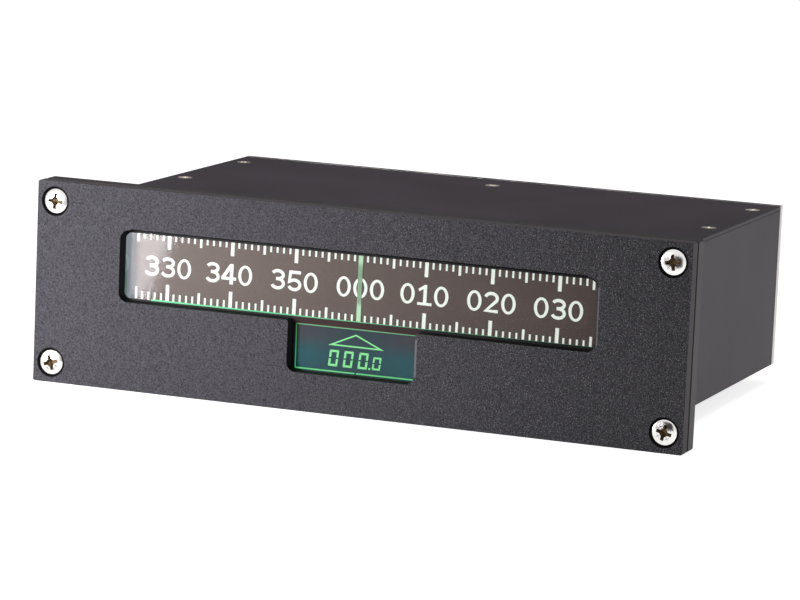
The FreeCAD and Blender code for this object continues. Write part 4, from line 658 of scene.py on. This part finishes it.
# The marks: a long one every ten degrees, a middling one at the fives and a short one at
# each other degree, along the tape's top and foot.
ink_depth = 0.02
ink = mottled("white ink", 0.5, (0.48, 0.49, 0.47), (0.55, 0.56, 0.54), (0.45, 0.62), 0.003,
              gloss=0.3)
# A painted glow: the ink shines faintly by itself, brightening the marks and figures.
lit_up(ink, (0.98, 1.0, 0.93), 0.52)
mark_top, mark_foot = 21.5, -4.9
long_mark, middling_mark, short_mark = (1.33, 14.45, 1.85), (0.94, 16.2, 0.1), (0.72, 17.35, -1.35)
marks = bmesh.new()
for heading in range(360):
    if heading % 10 == 0:
        wide, upper_end, lower_end = long_mark
    elif heading % 5 == 0:
        wide, upper_end, lower_end = middling_mark
    else:
        wide, upper_end, lower_end = short_mark
    for low, high in ((upper_end, mark_top), (mark_foot, lower_end)):
        steps = 2 if wide > 1 else 1
        rows = []
        for k in range(steps + 1):
            run = heading * degree + wide * (k / steps - 0.5)
            rows.append([marks.verts.new(on_tape(run, z, lift)) for z, lift in (
                (low, -ink_depth), (high, -ink_depth), (high, ink_depth), (low, ink_depth))])
        skinned(marks, rows)
        marks.faces.new(rows[0])
        marks.faces.new(rows[-1])
piece_of("heading_marks", meshed(marks, "heading marks"), ink, "housing", "tape_film")

# The figures: three for each ten degrees, drawn with a pen of one width and bent round the
# loop with the film.
figure_width, figure_height, figure_foot, figure_pitch, figure_rise = 5.6, 7.2, 4.53, 6.2, 0.14
pen = 1.14


def arc(x, y, across, up, start, end, steps=18):
    """Points along part of an ellipse, from one angle to another in degrees."""
    angles = [math.radians(start + (end - start) * k / steps) for k in range(steps + 1)]
    return [(x + across * math.cos(angle), y + up * math.sin(angle)) for angle in angles]


def plate(outer, inner=None):
    """A flat plate within an outline, or between two outlines of as many points."""
    shape = bmesh.new()
    loops = [outer] if inner is None else [outer, inner]
    tops, feet = ([[shape.verts.new((x, y, level)) for x, y in loop] for loop in loops]
                  for level in (1, -1))
    for walls in zip(tops, feet):
        skinned(shape, walls)
    for level in (tops, feet):
        if inner is None:
            for corners in tessellate_polygon([[Vector((x, y, 0)) for x, y in outer]]):
                shape.faces.new([level[0][k] for k in corners])
        else:
            skinned(shape, level)
    bmesh.ops.triangulate(shape, faces=shape.faces)
    return meshed(shape, "plate")


def stroke(points):
    """A plate along a line of points, as a pen of one width draws it, with mitred corners."""
    left, right = [], []
    for k, (x, y) in enumerate(points):
        before, after = points[max(k - 1, 0)], points[min(k + 1, len(points) - 1)]
        one = Vector((x - before[0], y - before[1]))
        two = Vector((after[0] - x, after[1] - y))
        one = one.normalized() if k else two.normalized()
        two = two.normalized() if k < len(points) - 1 else one
        side = Vector((-one.y - two.y, one.x + two.x)).normalized()
        reach = pen / 2 / max(side.dot(Vector((-one.y, one.x))), 0.55)
        left.append((x + side.x * reach, y + side.y * reach))
        right.append((x - side.x * reach, y - side.y * reach))
    return plate(left + right[::-1])


def oval(x, y, across, up, wide=pen, ends=pen):
    """A ring plate of one pen width at its sides and another at its top and foot."""
    return plate(arc(x, y, across + wide / 2, up + ends / 2, 0, 350, 35),
                 arc(x, y, across - wide / 2, up - ends / 2, 0, 350, 35))


def united(meshes):
    """One plate from several that overlap, the later ones a little thinner."""
    whole = meshes[0]
    for mesh in meshes[1:]:
        for v in mesh.vertices:
            v.co.z *= 0.96
        whole = cut(whole, mesh, work="UNION")
    return whole


drawn = {
    "0": [oval(2.8, figure_height / 2, 2.07, 3.11, 1.13, 0.93)],
    "1": [plate([(0.3, 0), (5.6, 0), (5.6, 0.98), (3.68, 0.98), (3.68, 7.2), (2.86, 7.2),
                 (0.52, 5.6), (0.88, 4.75), (2.42, 5.62), (2.42, 0.98), (0.3, 0.98)])],
    "2": [stroke(arc(2.75, 4.98, 2.12, 1.68, 168, -32) + [(0.95, 0.56), (5.35, 0.56)])],
    "3": [stroke(arc(2.75, 5.27, 2.02, 1.4, 158, -90) + [(2.1, 3.87)]),
          stroke([(2.1, 3.82)] + arc(2.75, 2.23, 2.2, 1.62, 90, -160))],
    "4": [plate([(3.15, 0), (4.45, 0), (4.45, 7.25), (3.15, 7.25)]),
          plate([(0, 1.5), (5.62, 1.5), (5.62, 2.58), (0, 2.58)]),
          plate([(0, 2.58), (0, 2.3), (1.4, 2.3), (4.2, 6.6), (3.9, 7.25), (3.15, 7.25)])],
    "5": [stroke([(5.15, 6.68), (1.3, 6.68), (0.98, 3.35)]
                 + arc(2.85, 2.28, 2.12, 1.68, 128, -160))],
    "6": [oval(2.8, 2.3, 2.12, 1.72),
          stroke([(0.68, 2.3)] + arc(2.95, 3.3, 2.27, 3.35, 180, 52))],
    "7": [stroke([(0.2, 6.66), (4.75, 6.66), (2.0, 0.0)])],
    "8": [oval(2.8, 2.15, 2.15, 1.57), oval(2.8, 5.32, 1.85, 1.35)]}
figures = {figure: united(parts) for figure, parts in drawn.items()}
figures["9"] = figures["6"].copy()
for v in figures["9"].vertices:
    v.co = (figure_width - v.co.x, figure_height - v.co.y, -v.co.z)
for mesh in figures.values():
    for v in mesh.vertices:
        v.co.x -= figure_width / 2
        v.co.z *= ink_depth

# How far the printer set some figures, by their tens, to the right of their marks.
set_over = {0: 0.15, 1: -0.35, 2: -0.05, 33: -0.15, 34: -1.0, 35: -0.4}
lettering = bmesh.new()
for tens in range(36):
    for place, figure in enumerate(f"{tens * 10:03d}"):
        middle = tens * 10 * degree + (place - 1) * figure_pitch + set_over.get(tens, 0.0)
        foot = figure_foot + figure_rise * math.sin(2 * math.tau * middle / loop_length)
        one = bmesh.new()
        one.from_mesh(figures[figure])
        if on_bend(middle - 3) or on_bend(middle + 3):
            for k in range(-2, 3):
                bmesh.ops.bisect_plane(one, geom=one.verts[:] + one.edges[:] + one.faces[:],
                                       dist=1e-5, plane_co=(k * 1.1, 0, 0), plane_no=(1, 0, 0))
        for v in one.verts:
            v.co = on_tape(middle + v.co.x, foot + v.co.y, v.co.z)
        bent = meshed(one, "bent figure", outward=False)
        lettering.from_mesh(bent)
        bpy.data.meshes.remove(bent)
piece_of("heading_figures", meshed(lettering, "heading figures"), ink, "housing", "tape_film")

# Lubber line, window and light bar: a strip of translucent green film behind a clear acrylic
# pane, lit from below by an edge-lit acrylic bar.
lubber = mottled("green translucent film", 0.9, (0.27, 0.40, 0.26), (0.37, 0.50, 0.36), (0.35, 0.5),
                 0.003)
lubber_level = spot_in(lubber)["Z"]
ends = maths(lubber, "MAXIMUM", ranged(lubber, lubber_level, 15.5, 17.5),
             ranged(lubber, lubber_level, 3.5, 1.5))
shade(lubber, {"Base Color": blended(lubber, ends, given(lubber, "tint"), (0.56, 0.70, 0.55))})
lit_up(lubber, (0.30, 0.60, 0.34), ranged(lubber, ends, 0, 1, 0.05, 0.30))
see = add(lubber, "ShaderNodeBsdfTransparent", {"Color": (0.80, 0.95, 0.80)})
thin = add(lubber, "ShaderNodeMixShader", {0: 0.40, 1: given(lubber, "Principled BSDF"), 2: see})
put(lubber, "Material Output", {"Surface": thin})
dress(["lubber_line"], lubber)

# The pane lets light straight through and mirrors a little. Its left end lets less light
# through and glows a faint blue grey, a painted reflection, with the bar's green in its lower
# corner.
clear = unshaded("clear acrylic")
pane_spot = spot_in(clear)
# The left end's band lets less light through, as part of the painted reflection.
reflection_band_share = ranged(clear, pane_spot["X"], -86.6, -84.2, 1.0, 0.0)
clearness = blended(clear, reflection_band_share, (0.96, 0.98, 0.97), (0.36, 0.40, 0.40))
through = add(clear, "ShaderNodeBsdfTransparent", {"Color": clearness})
blur = ranged(clear, noise(clear, 60.0, 6.0), 0, 1, 0.07, 0.13)
mirror = add(clear, "ShaderNodeBsdfGlossy", {"Roughness": blur})
edge_on = add(clear, "ShaderNodeFresnel", {"IOR": 1.30})
glazed = add(clear, "ShaderNodeMixShader", {0: edge_on, 1: through, 2: mirror})
green_end = maths(clear, "MULTIPLY", ranged(clear, pane_spot["Z"], 15, 6),
                  ranged(clear, pane_spot["X"], -87.4, -88.4))
# Painted reflection: the pane's left end glows faintly blue grey, and green low down.
painted_end_reflection = add(clear, "ShaderNodeEmission", {
    "Color": blended(clear, green_end, (0.70, 0.74, 0.82), (0.22, 0.42, 0.34)),
    "Strength": ranged(clear, pane_spot["X"], -86.6, -84.2, 0.25, 0.0)})
lit_pane = add(clear, "ShaderNodeAddShader", {0: glazed, 1: painted_end_reflection})
add(clear, "ShaderNodeOutputMaterial", {"Surface": lit_pane})
dress(["tape_pane"], clear)

dress(["light_bar"], mottled(
    "edge-lit acrylic", 1.5, (0.050, 0.024, 0.024), (0.075, 0.038, 0.036), (0.25, 0.45), 0.01))

# Display: a dark teal glass in a black holder, whose lit frame, triangle and figures stand in
# light green. The glass is greyer at its top and darker towards the middle.
glass = mottled("teal display glass", 3.0, (0.014, 0.066, 0.078), (0.020, 0.096, 0.116),
                (0.12, 0.2), 0.001, gloss=0.2)
glass_spot = spot_in(glass)
unlit = blended(glass, ranged(glass, glass_spot["Z"], -15.5, -9.5), given(glass, "tint"),
                (0.048, 0.052, 0.062))
middle_share = ranged(glass, maths(glass, "ABSOLUTE", glass_spot["X"]), 4, 19, 0.72, 0.0)
shade(glass, {"Base Color": blended(glass, middle_share, unlit, (0.022, 0.050, 0.062))})
dress(["display_glass"], glass)

lit = mottled("lit green", 0.6, (0.10, 0.30, 0.14), (0.12, 0.34, 0.16), (0.3, 0.4), 0.001)
lit_up(lit, (0.16, 0.90, 0.20), 0.43)
dimly_lit = mottled("dimly lit green", 0.6, (0.05, 0.18, 0.08), (0.07, 0.22, 0.10), (0.3, 0.4),
                    0.001)
lit_up(dimly_lit, (0.10, 0.92, 0.22),
       ranged(dimly_lit, spot_in(dimly_lit)["Z"], -21.6, -6.6, 0.42, 0.20))


def flat_shapes(name, outlines, middle, half):
    """Plates from outlines of (x, z) points in millimetres, half so deep each way from a depth."""
    shape = bmesh.new()
    for outline in outlines:
        near, far = ([shape.verts.new((x * mm, depth * mm, z * mm)) for x, z in outline]
                     for depth in (middle - half, middle + half))
        shape.faces.new(near)
        shape.faces.new(far)
        skinned(shape, (far, near))
    return meshed(shape, name)


def bar(start, end, wide):
    """The outline of a straight stroke with square ends."""
    (x0, z0), (x1, z1) = start, end
    long = math.hypot(x1 - x0, z1 - z0)
    sx, sz = (x1 - x0) / long, (z1 - z0) / long
    h = wide / 2
    return [(x0 - sz * h, z0 + sx * h), (x1 - sz * h, z1 + sx * h), (x1 + sz * h, z1 - sx * h),
            (x0 + sz * h, z0 - sx * h)]


def segment_figure(left, foot, wide, high, line, lean, gap=0.07, tip=0.16, shoulder=0.34):
    """The seven-segment figure 0: six mitred bars with gaps between them, leaning right."""
    middle = high / 2
    outlines = [[(gap, high), (wide - gap, high), (wide - line, high - line), (line, high - line)],
                [(gap, 0), (wide - gap, 0), (wide - line, line), (line, line)]]
    for outer, inner in ((0, line), (wide, wide - line)):
        outlines.append([(outer, high - gap), (outer, middle + tip), (inner, middle + shoulder),
                         (inner, high - line - gap)])
        outlines.append([(outer, gap), (outer, middle - tip), (inner, middle - shoulder),
                         (inner, line + gap)])
    return [[(left + x + z * lean, foot + z) for x, z in outline] for outline in outlines]


def line_triangle(corners, width):
    """The three mitred sides of a triangle drawn with one line width inside its corners."""
    inner = []
    for k in range(3):
        here, before, after = (Vector(corners[i % 3]) for i in (k, k + 2, k + 1))
        one, two = (before - here).normalized(), (after - here).normalized()
        half = math.acos(max(-1, min(1, one.dot(two)))) / 2
        inner.append(tuple(here + (one + two).normalized() * width / math.sin(half)))
    return [[corners[k], corners[(k + 1) % 3], inner[(k + 1) % 3], inner[k]] for k in range(3)]


# Figures and point, triangle, and the frame's five lines with the gap in its foot.
figure_lean = math.tan(math.radians(6.5))
point_x, point_z, point_radius = 5.22, -19.48, 0.42
strokes = []
for left, foot, wide, high, line in (
        (-10.25, -19.85, 3.45, 5.75, 0.78), (-4.75, -19.85, 3.45, 5.75, 0.78),
        (0.80, -19.85, 3.45, 5.75, 0.78), (6.15, -19.72, 3.0, 4.55, 0.62)):
    strokes += segment_figure(left, foot, wide, high, line, figure_lean)
strokes.append(arc(point_x, point_z, point_radius, point_radius, 0, 330, 11))
strokes += line_triangle([(-0.1, -7.98), (10.45, -12.65), (-10.45, -12.55)], 0.5)

frame_left, frame_right, frame_top, frame_foot, upright_line = -22.65, 22.6, -6.20, -21.68, 0.36
frame_lines = [bar((frame_left, frame_top), (frame_right, frame_top), 0.32),
               bar((frame_left, frame_foot), (-0.25, frame_foot), 0.50),
               bar((0.35, frame_foot), (frame_right, frame_foot), 0.50)]
for x in (frame_left + upright_line / 2, frame_right - upright_line / 2):
    frame_lines.append(bar((x, frame_foot + 0.25), (x, frame_top - 0.16), upright_line))

glass_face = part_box("display_glass")[0].y / mm
display_middle, display_turn = -14, math.radians(0.17)


def set_askew(outlines):
    """The same outlines, turned a little, as the display sits in its holder."""
    c, s = math.cos(display_turn), math.sin(display_turn)
    return [[(x * c - (z - display_middle) * s, x * s + (z - display_middle) * c + display_middle)
             for x, z in outline] for outline in outlines]


piece_of("display_marks", flat_shapes("display marks", set_askew(strokes), glass_face, 0.02), lit,
         "housing", "display_glass")
piece_of("display_frame", flat_shapes("display frame", set_askew(frame_lines), glass_face, 0.02),
         dimly_lit, "housing", "display_glass")

# Window masks and glow line: the pane's edges are screened black from the front, and a seam
# of green light shows where the pane meets the light bar. A dark strip hides the bar over
# the display.
mask_black = mottled("black screen print", 0.6, (0.006, 0.006, 0.007), (0.012, 0.011, 0.012),
                     (0.45, 0.6), 0.002, gloss=0.15)
pane_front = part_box("tape_pane")[0].y / mm
seam_left, seam_right, seam_start, seam_span = -3.56, -3.42, -78.6, 146.0
seam_widths = ((-78.2, 0.60), (-20.0, 0.40), (20.0, 0.20), (88.0, 0.14))


def rounded(left, right, low, high, radii, steps=8):
    """The outline of a rectangle with round corners, anticlockwise from its lower right one."""
    outline = []
    for k, (x, z, inward, inup) in enumerate(((right, low, -1, 1), (right, high, -1, -1),
                                              (left, high, 1, -1), (left, low, 1, 1))):
        radius = radii[k]
        outline += arc(x + inward * radius, z + inup * radius, radius, radius,
                       90 * (k - 1), 90 * k, steps)
    return outline


def screened(outer, inner, front, back):
    """A thin printed ring between two outlines of (x, z) points in millimetres."""
    shape = bmesh.new()
    shape.from_mesh(plate(outer, inner))
    for v in shape.verts:
        v.co = Vector((v.co.x, front if v.co.z > 0 else back, v.co.y)) * mm
    return meshed(shape, "window mask")


def seam_height(x):
    """The level of the light seam across the window."""
    return seam_left + (seam_right - seam_left) * (x - seam_start) / seam_span


# The mask's inner edge: its upper right corner is rounder than the others, and its foot
# follows the seam.
foot_drop, foot_lean = 0.16, 0.0009
ring_outer = rounded(-91.5, 91.5, -5.9, 22.5, (1.0, 1.0, 1.0, 1.0))
ring_inner = [(x, max(z, seam_height(x) - foot_drop + foot_lean * x))
              for x, z in rounded(-88.55, 86.9, -3.75, 19.75, (2.4, 3.5, 2.4, 2.4))]
piece_of("window_mask", screened(ring_outer, ring_inner, pane_front - 0.03, pane_front + 0.02),
         mask_black, "housing", "pane_acrylic")

glow = mottled("green edge glow", 0.8, (0.02, 0.12, 0.05), (0.03, 0.16, 0.08), (0.3, 0.45), 0.002)
lit_up(glow, (0.10, 0.90, 0.36), ranged(glow, spot_in(glow)["X"], -79, 68, 0.66, 0.05))
seam_line = [(x, seam_height(x) - wide / 2) for x, wide in seam_widths]
seam_line += [(x, seam_height(x) + wide / 2) for x, wide in reversed(seam_widths)]
piece_of("light_bar_glow", flat_shapes("glow line", [seam_line], pane_front - 0.03, 0.02), glow,
         "housing", "light_guide")

strip_foot, strip_half, strip_gap = -5.9, 23.6, 0.25
brown_strip = mottled("dark red brown print", 1.2, (0.024, 0.011, 0.012), (0.040, 0.020, 0.020),
                      (0.4, 0.55), 0.002, gloss=0.1)
strip_outline = [(-strip_half, strip_foot), (strip_half, strip_foot),
                 (strip_half, seam_height(strip_half) - strip_gap),
                 (-strip_half, seam_height(-strip_half) - strip_gap)]
piece_of("display_mask", flat_shapes("brown strip", [strip_outline], pane_front - 0.03, 0.02),
         brown_strip, "housing", "light_guide")

# Gasket and front plate: a black rubber sheet glued to a 5 mm plate whose face is sprayed
# with a coarse textured enamel and whose edges are left smooth.
dress(["panel_gasket"], mottled(
    "gasket rubber", 0.4, (0.012, 0.012, 0.012), (0.026, 0.025, 0.025), (0.6, 0.8), 0.01))

enamel = mottled("textured enamel", 0.32, (0.010, 0.010, 0.012), (0.083, 0.079, 0.096),
                 (0.38, 0.58), 0.34, detail=1.0, cloud=1600.0, spread=(0.72, 1.28))
facing = add(enamel, "ShaderNodeSeparateXYZ", {0: given(enamel, "place", "Normal")}).outputs
spot = spot_in(enamel)
across, upright = (maths(enamel, "ABSOLUTE", spot[axis]) for axis in "XZ")


def on_patch(middle_x, reach_x, middle_z, reach_z):
    """1 within an upright patch of the plate, else 0."""
    return maths(enamel, "MULTIPLY", maths(enamel, "COMPARE", spot["X"], middle_x, reach_x),
                 maths(enamel, "COMPARE", spot["Z"], middle_z, reach_z))


# The spray reaches the front face only. Near-black painted shade fills the rings round the
# console screws' heads and a band along the window's top edge.
screw_x, screw_z, shade_ring_radius = 114.2, 28.9, 5.24
corner = add(enamel, "ShaderNodeCombineXYZ", {0: across, 1: upright})
from_screw = add(enamel, "ShaderNodeVectorMath", {0: corner, 1: (screw_x, screw_z, 0.0)},
                 operation="DISTANCE").outputs["Value"]
off_screw_shade = ranged(enamel, from_screw, shade_ring_radius, shade_ring_radius + 0.1)
shade_over_window = on_patch(0.0, 84.8, 21.3, 0.32)
off_lip = maths(enamel, "SUBTRACT", 1.0, shade_over_window)
front_side = maths(enamel, "MULTIPLY", ranged(enamel, facing["Y"], -0.45, -0.80),
                   ranged(enamel, spot["Y"], -11.9, -12.1))
sprayed_unshaded = maths(enamel, "MULTIPLY", front_side, maths(enamel, "MULTIPLY", off_screw_shade, off_lip))

# Painted shade darkens the coat towards the right, where pale painted glints grow thicker.
glint_share = ranged(enamel, spot["X"], -90, 60, 0.08, 1.0)
painted_glints = ranged(enamel, noise(enamel, 2750.0), 0.56, 0.74, 0.0, glint_share)
painted_falloff = ranged(enamel, spot["X"], -120, 90, 1.12, 0.72)
shaded_coat = blended(enamel, 1.0, given(enamel, "tint"), painted_falloff, "MULTIPLY")
# Pale specks: painted glints.
speckled = blended(enamel, painted_glints, shaded_coat, (0.30, 0.29, 0.31))

# Unsprayed sides: painted shade darkens the walls inside the openings, those facing up or down
# most; the outer edges are paler. Two strips on the openings' right lips carry a painted highlight.
outside = maths(enamel, "MAXIMUM", ranged(enamel, across, 119.6, 120.0),
                ranged(enamel, upright, 34.6, 35.0))
upright_wall_share = ranged(enamel, maths(enamel, "ABSOLUTE", facing["X"]), 0.80, 0.98)
inner_shade = blended(enamel, upright_wall_share, (0.004, 0.004, 0.004), (0.017, 0.015, 0.016))
side_tone = blended(enamel, outside, inner_shade, (0.090, 0.082, 0.087))
# Painted highlight: light strips along the right lips of the window and the display opening.
window_highlight_strip = on_patch(88.85, 0.26, 8.0, 10.0)
display_highlight_strip = on_patch(24.05, 0.36, -13.0, 6.5)
painted_lip_highlight = maths(enamel, "MAXIMUM", window_highlight_strip, display_highlight_strip)
faced = blended(enamel, sprayed_unshaded, side_tone, speckled)
put(enamel, "bump", {"Strength": sprayed_unshaded})
# The painted lip highlights lie over the rest of the base colour.
shade(enamel, {
    "Base Color": blended(enamel, painted_lip_highlight, faced, (0.165, 0.165, 0.18)),
    "Specular IOR Level": ranged(enamel, sprayed_unshaded, 0, 1, 0.02, 0.15)})
dress(["front_plate"], enamel, 0.3)

# Console screws: four bright nickel-plated machine screws with raised countersunk heads and
# a cross recess, which hold plate and flange to the console.
nickel = steel("bright nickel plate", (0.88, 0.87, 0.85), (0.12, 0.24), 0.2)
# The recess finish is a dark brown painted shade for the cross recesses.
recess = mottled("recess painted shade", 0.3, (0.12, 0.078, 0.036), (0.34, 0.23, 0.115), (0.45, 0.65),
                 0.01, gloss=0.15)
crown, rim, head_radius, shank = 12.75, 11.85, 4.42, 2.5
screw_places = [(x, z) for x in (-screw_x, screw_x) for z in (screw_z, -screw_z)]
screw_turns = (-0.07, 0.30, 0.12, -0.25)


def dome_level(out):
    """How high the head's dome stands at a distance from its middle."""
    return rim + (crown - rim) * max(1 - (out / head_radius) ** 2, 0) ** 0.8


profile = [(0, -14.0), (2.2, -14.0), (shank, -13.7), (shank, 7.3), (head_radius - 0.1, rim - 0.35),
           (head_radius, rim - 0.15), (head_radius, rim)]
for k in range(1, 11):
    out = head_radius * math.cos(math.pi / 2 * k / 10) if k < 10 else 0
    profile.append((out, dome_level(out)))
driven = cut(turned(profile, 64), cross_cutter(2.75, 0.62, 2.2, 0.8),
             Matrix.Translation((0, 0, (crown - 0.5) * mm)))
driven = cut(driven, cross_cutter(1.45, 1.4, 2.6, 0.6),
             Matrix.Translation((0, 0, (crown - 0.45) * mm)) @ Matrix.Rotation(math.pi / 4, 4, "Z"))
for k in range(4):
    tick_turn = Matrix.Rotation(math.pi / 4 + k * math.pi / 2, 4, "Z")
    driven = cut(driven, cross_cutter(0.9, 0.06, 0.25, 0.9),
                 tick_turn @ Matrix.Translation((2.3 * mm, 0, (crown - 0.42) * mm)))
smooth(driven, 30)
screws = piece_of("console_screw_heads", gathered("console screws", [
    (driven, standing(x, 0, z, "-Y", turn)) for (x, z), turn in zip(screw_places, screw_turns)]),
    nickel, "housing", "bright_screw", "console_screws")
# Faces inside each cross recess take the painted shade.
screws.data.materials.append(recess)
for face in screws.data.polygons:
    off = min(math.hypot(face.center.x / mm - x, face.center.z / mm - z) for x, z in screw_places)
    if off < 3.0 and rim - 3.2 < -face.center.y / mm < dome_level(off) - 0.03:
        face.material_index = 1
